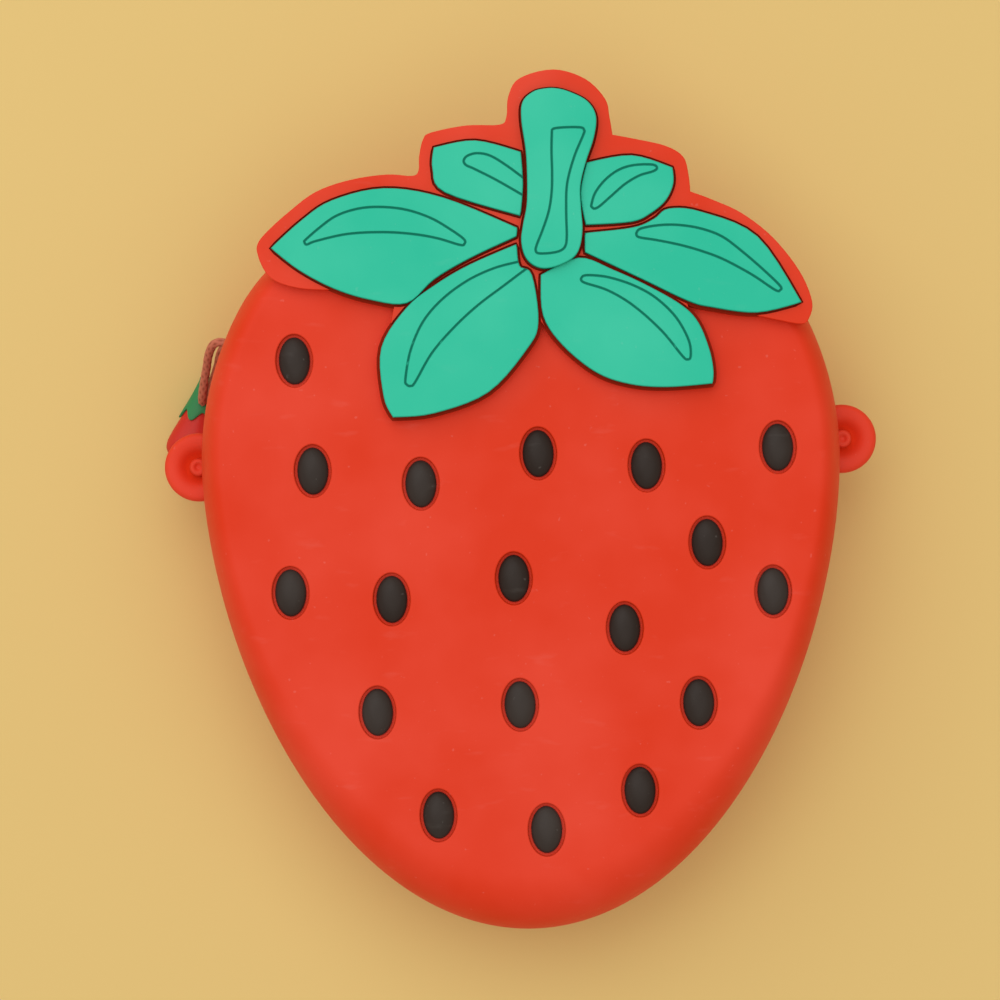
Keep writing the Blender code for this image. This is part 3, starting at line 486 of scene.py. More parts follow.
def smooth_route(points, steps, closed=False):
    """Points of the smooth curve through a list of points. A closed one keeps its sharp turns as corners."""
    count = len(points)
    route = []
    for k in range(count if closed else count - 1):
        start, end = points[k], points[(k + 1) % count]
        before = points[k - 1] if closed or k else start
        after = points[(k + 2) % count] if closed or k + 2 < count else end
        if closed and (start - before).angle(end - start) > math.radians(CORNER_ANGLE_DEG):
            before = start
        if closed and (end - start).angle(after - end) > math.radians(CORNER_ANGLE_DEG):
            after = end
        route += [curve_between(before, start, end, after, step / steps) for step in range(steps)]
    return route if closed else route + [points[-1]]


def even_route(points, spacing):
    """The same line with its points an even step apart."""
    lengths = [0.0]
    for start, end in zip(points, points[1:]):
        lengths.append(lengths[-1] + (end - start).length)
    count = round(lengths[-1] / spacing)
    route = []
    k = 0
    for step in range(count + 1):
        at = lengths[-1] * step / count
        while k < len(points) - 2 and lengths[k + 1] < at:
            k += 1
        share = (at - lengths[k]) / (lengths[k + 1] - lengths[k])
        route.append(points[k].lerp(points[k + 1], share))
    return route


def only(kind, items):
    return [item for item in items if isinstance(item, kind)]


def edges_within(edges, verts):
    """The edges that have both their ends among the vertices."""
    inside = set(verts)
    return [edge for edge in edges if edge.verts[0] in inside and edge.verts[1] in inside]


def start_ring(bm, station, points):
    """A circle of vertices, each moved to its station's point. Returns its edges."""
    verts = bmesh.ops.create_circle(bm, segments=len(points), radius=1.0)["verts"]
    for k, vert in enumerate(verts):
        vert[station] = k
        vert.co = points[k]
    return edges_within(bm.edges, verts)


def pull_ring(bm, station, edges, points):
    """Extrudes a ring of edges to the next ring of points. Returns the new ring's edges."""
    made = bmesh.ops.extrude_edge_only(bm, edges=edges)["geom"]
    verts = only(bmesh.types.BMVert, made)
    for vert in verts:
        vert.co = points[vert[station]]
    return edges_within(only(bmesh.types.BMEdge, made), verts)


def loft(rings):
    """A closed solid through rings of as many points each."""
    bm = bmesh.new()
    station = bm.verts.layers.int.new("station")
    edges = start_ring(bm, station, rings[0])
    bmesh.ops.contextual_create(bm, geom=edges)
    for ring in rings[1:]:
        edges = pull_ring(bm, station, edges, ring)
    bmesh.ops.contextual_create(bm, geom=edges)
    return bm


def cut_for_bending(bm):
    """Cuts flat faces across the band where the front would flex, so that they could bend smoothly."""
    rows = round((BEND_END[1] - BEND_START[1]) / BEND_CUT_STEP)
    for row in range(rows + 1):
        height = BEND_START[1] + (BEND_END[1] - BEND_START[1]) * row / rows
        geom = bm.verts[:] + bm.edges[:] + bm.faces[:]
        bmesh.ops.bisect_plane(bm, geom=geom, dist=MERGE_DISTANCE, plane_co=(0, height, 0), plane_no=(0, 1, 0))


def round_edges(bm, edges, offset, segments):
    bmesh.ops.bevel(
        bm,
        geom=edges,
        offset=offset,
        segments=segments,
        profile=0.5,
        affect="EDGES",
        material=-1,
        clamp_overlap=True,
    )


def finished_mesh(bm, name):
    mesh = bpy.data.meshes.new(name)
    bm.to_mesh(mesh)
    bm.free()
    return mesh


def evaluated_mesh(obj):
    return bpy.data.meshes.new_from_object(obj.evaluated_get(bpy.context.evaluated_depsgraph_get()))


def add_object(name, data):
    obj = bpy.data.objects.new(name, data)
    bpy.context.scene.collection.objects.link(obj)
    return obj


def add_piece(name, bm, material, nodes=()):
    """A finished piece from a bmesh that is already in place. It stands for the named nodes."""
    bmesh.ops.recalc_face_normals(bm, faces=bm.faces)
    mesh = finished_mesh(bm, name)
    mesh.materials.append(material)
    mesh.shade_smooth()
    mesh.set_sharp_from_angle(angle=math.radians(SHARP_ANGLE_DEG))
    obj = add_object(name, mesh)
    if nodes:
        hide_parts(*nodes)
    return obj


def bend_with_front(obj):
    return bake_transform(obj)


class MaterialNodes:
    """A new material and its nodes. An input takes a value, or another node's output, which is linked."""

    def __init__(self, name):
        self.material = bpy.data.materials.new(name)
        self.material.use_nodes = True
        self.tree = self.material.node_tree
        self.coordinates = self.add("TexCoord").outputs["Object"]

    def feed(self, socket, value):
        if isinstance(value, bpy.types.NodeSocket):
            self.tree.links.new(value, socket)
        else:
            socket.default_value = value

    def feed_inputs(self, node, inputs):
        """Feeds inputs by name, with underscores for spaces."""
        for name, value in inputs.items():
            self.feed(node.inputs[name.replace("_", " ")], value)
        return node

    def add(self, kind, **inputs):
        column, row = divmod(len(self.tree.nodes), NODE_ROWS)
        node = self.tree.nodes.new(f"ShaderNode{kind}")
        node.location = (NODE_WIDTH * (column - NODE_COLUMNS), NODE_HEIGHT * (NODE_ROWS / 2 - row))
        return self.feed_inputs(node, inputs)

    def ranged(self, value, **ends):
        return self.add("MapRange", Value=value, **ends).outputs["Result"]

    def noise(self, scale, low, high, detail=3.0, stretch=None):
        """Noise on the piece's own coordinates, spread from 0 to 1 between two of its levels."""
        source = self.coordinates
        if stretch:
            source = self.add("Mapping", Vector=source, Scale=stretch).outputs["Vector"]
        noise = self.add("TexNoise", Vector=source, Scale=scale, Detail=detail)
        return self.ranged(noise.outputs["Fac"], From_Min=low, From_Max=high)

    def product(self, first, second):
        node = self.add("Math")
        node.operation = "MULTIPLY"
        self.feed(node.inputs[0], first)
        self.feed(node.inputs[1], second)
        return node.outputs["Value"]

    def stored(self, name):
        """A value that is stored on the piece's vertices, or 0 where there is none."""
        node = self.add("Attribute")
        node.attribute_name = name
        return node.outputs["Fac"]

    def bumps(self, height, strength, distance):
        return self.add("Bump", Height=height, Strength=strength, Distance=distance).outputs["Normal"]

    def mix(self, factor, first, second):
        """Mixes two colours, each a value or another node's output."""
        node = self.add("Mix")
        node.data_type = "RGBA"
        self.feed(node.inputs["Factor"], factor)
        for side, colour in (("A", first), ("B", second)):
            linked = isinstance(colour, bpy.types.NodeSocket)
            self.feed(node.inputs[side], colour if linked else (*colour, 1.0))
        return node.outputs["Result"]

    def finish(self, **inputs):
        """Feeds the material's shader, and returns the material."""
        self.feed_inputs(self.tree.nodes["Principled BSDF"], inputs)
        return self.material


def shaded(colour, share):
    """A colour darkened or lightened by a share, lighter ones towards white."""
    if share < 1:
        return tuple(channel * share for channel in colour)
    return tuple(channel + (1 - channel) * (share - 1) for channel in colour)


def silicone(name, colour, roughness, dust=0.14, painted_shade_share=1.0):
    """Matt moulded silicone: soft patches of tone, rubbed marks, lint specks and a fine mould grain.

    Painted shade: where the piece's stored painted shade is 1, its colour falls to the given share of itself and its
    gloss falls as well.
    """
    nodes = MaterialNodes(name)
    patches = nodes.noise(scale=38.0, low=0.35, high=0.68)
    body = nodes.mix(patches, *(shaded(colour, shade) for shade in PATCH_SHADES))
    rubbed = nodes.noise(scale=120.0, low=0.64, high=0.80, detail=6.0, stretch=(1.0, 3.2, 1.0))
    worn = nodes.mix(nodes.product(rubbed, dust), body, shaded(colour, RUBBED_SHADE))
    lint = nodes.noise(scale=900.0, low=0.745, high=0.80, detail=1.0)
    dusted = nodes.mix(nodes.product(lint, dust), worn, shaded(colour, SPECK_SHADE))
    # The stored painted shade, dark in carvings, pockets and dishes where shade falls
    depth = nodes.stored("painted_shade_mask")
    sheen = nodes.noise(scale=90.0, low=0.3, high=0.7)
    grain = nodes.add("TexNoise", Vector=nodes.coordinates, Scale=2600.0, Detail=2.0).outputs["Fac"]
    return nodes.finish(
        Base_Color=nodes.mix(depth, dusted, shaded(colour, painted_shade_share)),
        Specular_IOR_Level=nodes.ranged(depth, To_Min=GLOSS, To_Max=PAINTED_SHADE_GLOSS),
        Roughness=nodes.ranged(sheen, To_Min=roughness - 0.04, To_Max=roughness + 0.05),
        Normal=nodes.bumps(grain, strength=MOULD_GRAIN, distance=0.0001),
    )


def woven_tape(name, colour):
    """Polyester zip tape: fine ribs both ways, with painted shade between the threads and a painted highlight on the
    thread tops.
    """
    nodes = MaterialNodes(name)
    ribs = []
    for direction in ("X", "Z"):
        wave = nodes.add("TexWave", Vector=nodes.coordinates, Scale=900.0, Distortion=1.5, Detail=1.0)
        wave.bands_direction = direction
        ribs.append(wave.outputs["Fac"])
    weave = nodes.product(*ribs)
    return nodes.finish(
        # Painted shade between the threads, painted highlight on their tops
        Base_Color=nodes.mix(weave, shaded(colour, 0.6), shaded(colour, 1.08)),
        Roughness=0.9,
        Sheen_Weight=0.3,
        Normal=nodes.bumps(weave, strength=0.6, distance=0.0002),
    )


def resin(name, colour):
    """Moulded resin teeth, slightly glossy, worn lighter in patches."""
    nodes = MaterialNodes(name)
    patches = nodes.noise(scale=700.0, low=0.4, high=0.7)
    return nodes.finish(Base_Color=nodes.mix(patches, colour, shaded(colour, 1.1)), Roughness=0.35)


def plated_metal(name, colour):
    """Die cast metal with a thin plating, dulled by fine scratches."""
    nodes = MaterialNodes(name)
    patches = nodes.noise(scale=400.0, low=0.35, high=0.75)
    scratches = nodes.noise(scale=900.0, low=0.3, high=0.8, detail=5.0, stretch=(1.0, 1.0, 12.0))
    return nodes.finish(
        Base_Color=nodes.mix(patches, shaded(colour, 0.8), shaded(colour, 1.1)),
        Metallic=1.0,
        Roughness=nodes.ranged(scratches, To_Min=0.22, To_Max=0.42),
    )


def braided_cord(name, colour):
    """Thin polyester braid: painted shade between the strands and a painted highlight on their tops, with stray
    lighter fibres.
    """
    nodes = MaterialNodes(name)
    height = nodes.stored("strand_height")
    # Painted shade between the strands, painted highlight on their tops
    strands = nodes.mix(height, shaded(colour, BRAID_GROOVE_PAINTED_SHADE), shaded(colour, 1.08))
    fibres = nodes.noise(scale=3200.0, low=0.58, high=0.75, detail=4.0)
    body = nodes.mix(nodes.product(fibres, STRAY_FIBRE_SHARE), strands, shaded(colour, 1.3))
    return nodes.finish(Base_Color=body, Roughness=0.85, Sheen_Weight=0.05)


def pale_floor(name, colour):
    """A plain pale backdrop with the faintest unevenness."""
    nodes = MaterialNodes(name)
    patches = nodes.noise(scale=6.0, low=0.3, high=0.7)
    body = nodes.mix(patches, shaded(colour, 0.985), shaded(colour, 1.005))
    return nodes.finish(Base_Color=body, Roughness=0.8, Specular_IOR_Level=0.2)


def oval_ring(centre, grow, drop):
    """A ring of a seed's recess: how far it stands outside the recess's wall, and how deep."""
    ring = []
    for k in range(OVAL_STATIONS):
        turn = math.tau * k / OVAL_STATIONS
        across = SEED_HALF_WIDTH + RECESS_MARGIN + grow
        along = SEED_HALF_LENGTH + RECESS_MARGIN + grow
        ring.append(centre + Vector((across * math.cos(turn), along * math.sin(turn), -drop)))
    return ring


def add_recess(bm, station, centre, edge_round):
    """An oval recess with a rounded edge, joined to the face later by its opening, which is returned."""
    rings = [oval_ring(centre, edge_round, 0.0)]
    for rise, run in quarter_turn(ROUNDING_STEPS, 1):
        rings.append(oval_ring(centre, edge_round * (1 - rise), edge_round * (1 - run)))
    for rise, run in quarter_turn(ROUNDING_STEPS):
        drop = RECESS_DEPTH - RECESS_FLOOR_ROUND * (1 - rise)
        rings.append(oval_ring(centre, -RECESS_FLOOR_ROUND * (1 - run), drop))
    opening = start_ring(bm, station, oval_ring(centre, edge_round + RECESS_SUPPORT, 0.0))
    edges = opening
    for ring in rings:
        edges = pull_ring(bm, station, edges, ring)
    bmesh.ops.contextual_create(bm, geom=edges)
    return opening


def build_shell(side_band, tip_band, facing, recesses, edge_round):
    """A half shell: its face, band and rim, and the inner wall."""
    bm = bmesh.new()
    station = bm.verts.layers.int.new("station")
    rings = shell_rings(side_band, tip_band, facing)
    face_edge = start_ring(bm, station, rings[0])
    edges = face_edge
    for ring in rings[1:]:
        edges = pull_ring(bm, station, edges, ring)
    bmesh.ops.triangle_fill(bm, use_beauty=True, edges=edges, normal=(0, 0, 1))
    openings = []
    for centre in recesses:
        openings += add_recess(bm, station, centre, edge_round)
    bmesh.ops.triangle_fill(bm, use_beauty=True, edges=face_edge + openings, normal=(0, 0, 1))
    return bm


def grown(outline, distance):
    """A closed outline moved outwards by a distance."""
    turning = sum(start.cross(end).z for start, end in zip(outline, outline[1:] + outline[:1]))
    side = math.copysign(distance, turning)
    moved = []
    for k, place in enumerate(outline):
        along = (outline[(k + 1) % len(outline)] - outline[k - 1]).normalized()
        moved.append(place + Vector((along.y, -along.x, 0)) * side)
    return moved


def add_prism(bm, shape, base, top, grow):
    """An upright block with the outline of a piece of the face. Returns its upper edges."""
    outline = smooth_route([face_place(corner, base) for corner in shape], OUTLINE_STEPS, closed=True)
    verts = bmesh.ops.create_circle(bm, cap_ends=True, segments=len(outline), radius=1.0)["verts"]
    for vert, place in zip(verts, grown(outline, grow)):
        vert.co = place
    made = bmesh.ops.extrude_face_region(bm, geom=verts[0].link_faces[:])["geom"]
    bmesh.ops.translate(bm, verts=only(bmesh.types.BMVert, made), vec=(0, 0, top - base))
    return only(bmesh.types.BMEdge, made)


def flat_solid(shape, base, top, edge_round, grow=0.0):
    """A flat piece of the face from its outline, with a rounded upper edge."""
    bm = bmesh.new()
    round_edges(bm, add_prism(bm, shape, base, top, grow), edge_round, ROUNDING_STEPS)
    bmesh.ops.remove_doubles(bm, verts=bm.verts, dist=MERGE_DISTANCE)
    upper = [face for face in bm.faces if face.calc_center_median().z > top - MERGE_DISTANCE]
    lid = max(upper, key=lambda face: face.calc_area())
    bmesh.ops.inset_region(bm, faces=[lid], thickness=INSET_SUPPORT, use_even_offset=True)
    return bm


def carved_route(piece, height):
    """The carved line of a piece as close points at a height. A closed one ends where it starts."""
    closed, line = CARVED_LINES[piece]
    points = [face_place(place, height) for place in line]
    return smooth_route(points + points[:1] if closed else points, CARVED_STEPS)


def carving_tool(name, piece, top, width):
    """A round bar along a piece's carved line, sunk by two fifths of its width into the top."""
    curve = bpy.data.curves.new(name, "CURVE")
    curve.dimensions = "3D"
    curve.bevel_depth = width * CARVING_RADIUS_SHARE
    curve.bevel_resolution = CARVING_BAR_STEPS
    curve.use_fill_caps = True
    spline = curve.splines.new("POLY")
    closed = CARVED_LINES[piece][0]
    route = carved_route(piece, top + width * CARVING_RISE_SHARE)
    if closed:
        route.pop()
    spline.points.add(len(route) - 1)
    for point, place in zip(spline.points, route):
        point.co = (*place, 1.0)
    spline.use_cyclic_u = closed
    tool = add_object(name, curve)
    mesh = evaluated_mesh(tool)
    bpy.data.objects.remove(tool)
    return mesh


def pocket_tool(name):
    """Blocks that cut a pocket into the plate under every leaf and the stem."""
    bm = bmesh.new()
    for shape in (*LEAF_OUTLINES.values(), STEM_OUTLINE):
        add_prism(bm, shape, POCKET_FLOOR, STEM_TOP, POCKET_MARGIN)
    bmesh.ops.recalc_face_normals(bm, faces=bm.faces)
    return finished_mesh(bm, name)


def cut_solid(bm, name, tool_mesh):
    """The piece less the tool, as a bmesh."""
    bmesh.ops.recalc_face_normals(bm, faces=bm.faces)
    body = add_object(f"{name}_blank", finished_mesh(bm, f"{name}_blank"))
    tool = add_object(f"{name}_tool", tool_mesh)
    carve = body.modifiers.new("carve", "BOOLEAN")
    carve.operation = "DIFFERENCE"
    carve.solver = "EXACT"
    carve.use_self = True
    carve.object = tool
    result = bmesh.new()
    result.from_mesh(evaluated_mesh(body))
    for obj in (body, tool):
        bpy.data.objects.remove(obj)
    return result


def store_painted_shade(obj, share_at):
    """Stores each vertex's painted shade, from 0 to 1, for the dark where shade falls in carvings, pockets and
    dishes.
    """
    painted_shades = obj.data.attributes.new("painted_shade_mask", "FLOAT", "POINT")
    for vert in obj.data.vertices:
        painted_shades.data[vert.index].value = min(1.0, max(0.0, share_at(vert.co)))


def tape_near(degrees):
    """The height of the tape's near edge. Past the stops the two tapes meet and close the groove's ends."""
    past = max(TAPE_MEET_START_DEG - degrees, degrees - TAPE_MEET_END_DEG) / TAPE_MEET_SPAN_DEG
    return TAPE_NEAR + (TAPE_MEET - TAPE_NEAR) * min(1.0, max(0.0, past))


def arc_bar(start, end, half_thickness, heights_at, rounding):
    """A bar along the zip's arc with its long edges rounded. heights_at gives its two edges at an angle."""
    rings = []
    for k in range(ARC_STEPS + 1):
        degrees = start + (end - start) * k / ARC_STEPS
        near, far = heights_at(degrees)
        corners = ((-half_thickness, near), (half_thickness, near), (half_thickness, far), (-half_thickness, far))
        rings.append([arc_point(ZIP_RADIUS + offset, degrees, height) for offset, height in corners])
    bm = loft(rings)
    bmesh.ops.recalc_face_normals(bm, faces=bm.faces)
    edges = [edge for edge in bm.edges if edge.calc_face_angle(0.0) > math.radians(EDGE_ANGLE_DEG)]
    round_edges(bm, edges, rounding, SMALL_ROUNDING_STEPS)
    return bm


def add_tooth(bm, degrees, length_deg, facing):
    """One rounded tooth of the zip, across the tape's edge."""
    middle = arc_point(ZIP_RADIUS, degrees, facing * (TOOTH_TIP + TOOTH_ROOT) / 2)
    outward = Vector((math.cos(math.radians(degrees)), math.sin(math.radians(degrees)), 0))
    along = Vector((-outward.y, outward.x, 0))
    size = Vector((2 * TOOTH_HALF_THICKNESS, ZIP_RADIUS * math.radians(length_deg), TOOTH_ROOT - TOOTH_TIP))
    verts = bmesh.ops.create_cube(bm, size=1.0)["verts"]
    for vert in verts:
        x, y, z = (vert.co[k] * size[k] for k in range(3))
        vert.co = middle + outward * x + along * y + Vector((0, 0, z))
    round_edges(bm, edges_within(bm.edges, verts), TOOTH_ROUND, SMALL_ROUNDING_STEPS)


def spun(section, centre):
    """A full turn of a section of (radius, height) about an upright axis."""
    bm = bmesh.new()
    verts = [bm.verts.new((centre.x + radius, centre.y, centre.z + height)) for radius, height in section]
    edges = [bm.edges.new(pair) for pair in zip(verts, verts[1:])]
    bmesh.ops.spin(
        bm,
        geom=verts + edges,
        axis=(0, 0, 1),
        cent=centre,
        steps=ROUND_STATIONS,
        angle=math.tau,
        use_merge=True,
    )
    bmesh.ops.remove_doubles(bm, verts=bm.verts, dist=MERGE_DISTANCE)
    return bm


def tube_rings(route, sides, radius_at):
    """Rings round a route. radius_at gives the radius at a turn round it and a length along it."""
    rings = []
    along = (route[1] - route[0]).normalized()
    across = along.orthogonal().normalized()
    length = 0.0
    for k, place in enumerate(route):
        ahead = (route[min(k + 1, len(route) - 1)] - route[max(k - 1, 0)]).normalized()
        across = (along.rotation_difference(ahead) @ across).normalized()
        along = ahead
        up = along.cross(across)
        ring = []
        for side in range(sides):
            turn = math.tau * side / sides
            ring.append(place + (across * math.cos(turn) + up * math.sin(turn)) * radius_at(turn, length))
        rings.append(ring)
        if k + 1 < len(route):
            length += (route[k + 1] - place).length
    return rings


def strand_height(turn, length):
    """How high the braid's strands stand at a place, from 0 between them to 1 on top."""
    phase = math.tau * length / BRAID_PITCH
    right = math.sin(BRAID_STRANDS / 4 * turn + phase)
    left = math.sin(BRAID_STRANDS / 4 * turn - phase)
    return max(abs(right), abs(left))


def charm_frame():
    """The charm's own axes: from its top to its tip, and across it."""
    lean = math.radians(CHARM_LEAN_DEG)
    along = Vector((-math.sin(lean), -math.cos(lean), 0))
    return along, Vector((along.y, -along.x, 0))


def fruit_width(share):
    """The fruit's half width, as a share of its widest, at a share of its length."""
    share = max(0.0, share)
    profile = CHARM_PROFILE_SHARES
    for k, (end, after) in enumerate(profile[1:], 1):
        if share <= end:
            start, before = profile[k - 1]
            earlier, later = profile[max(k - 2, 0)][1], profile[min(k + 1, len(profile) - 1)][1]
            return curve_between(earlier, before, after, later, (share - start) / (end - start))
    return profile[-1][1]


def charm_ring(place_at, narrow, thickness=0.0):
    """A ring round the charm, as far along it as place_at says at each turn and as wide as the fruit is there."""
    along, across = charm_frame()
    ring = []
    for k in range(CHARM_STATIONS):
        turn = math.tau * k / CHARM_STATIONS
        place = place_at(turn)
        width = fruit_width(place / CHARM_LENGTH) * narrow
        side = across * ((CHARM_HALF_WIDTH * width + thickness) * math.cos(turn))
        rise = Vector((0, 0, (CHARM_HALF_THICKNESS * width + thickness) * math.sin(turn)))
        ring.append(CHARM_TOP + along * place + side + rise)
    return ring


def cap_ring(share, thickness, narrow):
    """A ring of the cap, lobed more the nearer it is to the cap's edge."""

    def place_at(turn):
        lobe = math.cos(CAP_LOBES * turn)
        return CAP_LENGTH * share * (1 + CAP_LOBE_SHARE * share * lobe) - CAP_THICKNESS - GAP

    return charm_ring(place_at, narrow, CAP_THICKNESS * thickness)


class DressShells(bpy.types.Operator):
    """Add the front shell with the seeds' recesses, and the back shell"""

    bl_idname = "strawberry_bag.dress_shells"
    bl_label = "Shells"

    def execute(self, context):
        red = silicone("red_silicone_shell", context.scene.bag_colours.red, 0.50)
        edge_round = context.scene.bag_sizes.recess_round
        recesses = [face_place(place, FACE_Z) for place in SEED_PLACES]
        front = build_shell(FRONT_SIDE_BAND, FRONT_TIP_BAND, 1, recesses, edge_round)
        cut_for_bending(front)
        piece = add_piece("front_shell", front, red, ("front_shell_lower", "front_shell_upper"))
        bend_with_front(piece)
        back = build_shell(BACK_SIDE_BAND, BACK_TIP_BAND, -1, [], edge_round)
        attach(add_piece("rear_shell", back, red, ("back_shell",)), "bag")
        return {"FINISHED"}


class DressSeeds(bpy.types.Operator):
    """Add the eighteen seed domes in their recesses"""

    bl_idname = "strawberry_bag.dress_seeds"
    bl_label = "Seeds"

    def execute(self, context):
        black = silicone("black_silicone_seed", context.scene.bag_colours.black, 0.42, dust=0.12)
        floor = FACE_Z - RECESS_DEPTH
        for number, place in enumerate(SEED_PLACES, 1):
            bm = bmesh.new()
            bmesh.ops.create_uvsphere(bm, u_segments=OVAL_STATIONS, v_segments=SEED_ROWS, radius=1.0)
            centre = face_place(place, floor + GAP)
            for vert in bm.verts:
                rise = vert.co.z * (SEED_DOME_HEIGHT if vert.co.z > 0 else GAP)
                offset = Vector((vert.co.x * SEED_HALF_WIDTH, vert.co.y * SEED_HALF_LENGTH, rise))
                vert.co = centre + offset
            node = f"seed_{number:02d}"
            seed = add_piece(f"{node}_dome", bm, black, (node,))
            if centre.y > BEND_START[1]:
                bend_with_front(seed)
            else:
                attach(seed, "bag")
        return {"FINISHED"}


class DressCalyx(bpy.types.Operator):
    """Add the calyx plate, its six leaves and the stem, with their carved lines"""

    bl_idname = "strawberry_bag.dress_calyx"
    bl_label = "Calyx"

    def execute(self, context):
        colours, sizes = context.scene.bag_colours, context.scene.bag_sizes
        # Painted shade takes the plate's pocket floors and ledge tops to 0.36 of the red, and the leaves' carved
        # lines and sides to 0.30 of the green
        red = silicone("red_silicone_plate", colours.red, 0.50, painted_shade_share=0.36)
        green = silicone("green_silicone_leaf", colours.green, 0.50, dust=0.10, painted_shade_share=0.30)
        plate = flat_solid(PLATE_OUTLINE, PLATE_BASE, PLATE_TOP, sizes.plate_round)
        plate = cut_solid(plate, "calyx_border", pocket_tool("pockets"))
        for shape in LEAF_OUTLINES.values():
            add_prism(plate, shape, PLATE_BASE, POCKET_FLOOR - LEDGE_DROP, LEDGE_GROW)
        cut_for_bending(plate)
        border = add_piece("calyx_border", plate, red, ("calyx_plate",))
        # Painted shade on the pocket floors and the ledge tops, the dark gaps round the leaves
        store_painted_shade(border, lambda place: abs(place.z - POCKET_FLOOR) < LEDGE_DROP + MERGE_DISTANCE)
        bend_with_front(border)
        tops = {name: LEAF_TOP for name in LEAF_OUTLINES}
        tops["stem"] = STEM_TOP
        for name, top in tops.items():
            shape = LEAF_OUTLINES.get(name, STEM_OUTLINE)
            blank = flat_solid(shape, LEAF_BASE, top, sizes.leaf_round, LEAF_GROW)
            solid = cut_solid(blank, name, carving_tool(f"{name}_line", name, top, sizes.carving_width))
            cut_for_bending(solid)
            piece = add_piece(f"{name}_carved", solid, green, (name,))
            line = carved_route(name, top)

            # Painted shade in a carved line grows with its depth, and on the leaf's sides it is a share at the
            # rounding's foot and full below the plate's top
            def leaf_painted_shade(place):
                if min((place - point).length for point in line) < sizes.carving_width:
                    return (top - place.z) / PAINTED_SHADE_DEPTH
                return SIDE_PAINTED_SHADE_SHARE * (top - place.z) / sizes.leaf_round if place.z > PLATE_TOP else 1.0

            store_painted_shade(piece, leaf_painted_shade)
            bend_with_front(piece)
        return {"FINISHED"}


class DressZip(bpy.types.Operator):
    """Add the woven tapes and the rows of teeth, and plate the stops and the slider"""

    bl_idname = "strawberry_bag.dress_zip"
    bl_label = "Zip"

    def execute(self, context):
        colours = context.scene.bag_colours
        weave = woven_tape("zip_tape_weave", colours.tape)
        teeth_resin = resin("zip_teeth_resin", colours.teeth)
        metal = plated_metal("zip_stop_metal", colours.metal)
        pitch = (TEETH_END_DEG - TEETH_START_DEG) / TEETH_COUNT
        for side, facing in (("back", -1), ("front", 1)):
            tape = arc_bar(
                TAPE_START_DEG,
                TAPE_END_DEG,
                TAPE_HALF_THICKNESS,
                lambda degrees: (facing * tape_near(degrees), facing * TAPE_FAR),
                TAPE_HALF_THICKNESS / 2,
            )
            row = arc_bar(
                TEETH_START_DEG,
                TEETH_END_DEG + pitch * FRONT_STAGGER_SHARE,
                BACKING_HALF_THICKNESS,
                lambda degrees: (facing * BACKING_NEAR, facing * TOOTH_ROOT),
                BACKING_HALF_THICKNESS / 3,
            )
            stagger = pitch * FRONT_STAGGER_SHARE if facing > 0 else 0.0
            for tooth in range(TEETH_COUNT):
                start = TEETH_START_DEG + tooth * pitch + stagger
                add_tooth(row, start + pitch * TOOTH_SHARE / 2, pitch * TOOTH_SHARE, facing)
            for piece in (
                add_piece(f"{side}_tape_woven", tape, weave, (f"zip_tape_{side}",)),
                add_piece(f"{side}_teeth_row", row, teeth_resin, (f"zip_teeth_{side}",)),
            ):
                if facing > 0:
                    bend_with_front(piece)
                else:
                    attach(piece, "bag")
        for name in ("zip_stop_left", "zip_stop_right", "slider_body"):
            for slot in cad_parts[name].material_slots:
                slot.material = metal
        return {"FINISHED"}


class DressCrown(bpy.types.Operator):
    """Add the slider's crown, the arch that the cord loop goes through"""

    bl_idname = "strawberry_bag.dress_crown"
    bl_label = "Slider crown"

    def execute(self, context):
        metal = plated_metal("zip_crown_metal", context.scene.bag_colours.metal)
        turn = math.radians(SLIDER_REST_DEG)
        outward = Vector((math.cos(turn), math.sin(turn), 0))
        along = Vector((-outward.y, outward.x, 0))
        foot = arc_point(CROWN_BASE_RADIUS - GAP, SLIDER_REST_DEG, 0)
        inset = CROWN_HALF_LENGTH - CROWN_WIRE_RADIUS
        height = CROWN_HEIGHT - CROWN_WIRE_RADIUS + GAP
        points = [foot + along * (side * inset) + outward * (rise * height) for side, rise in CROWN_ROUTE_SHARES]
        route = smooth_route(points, CROWN_STEPS)
        tube = loft(tube_rings(route, CROWN_SIDES, lambda turn, length: CROWN_WIRE_RADIUS))
        crown = add_piece("slider_crown_arch", tube, metal, ("slider_crown",))
        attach(crown, "slider")
        return {"FINISHED"}


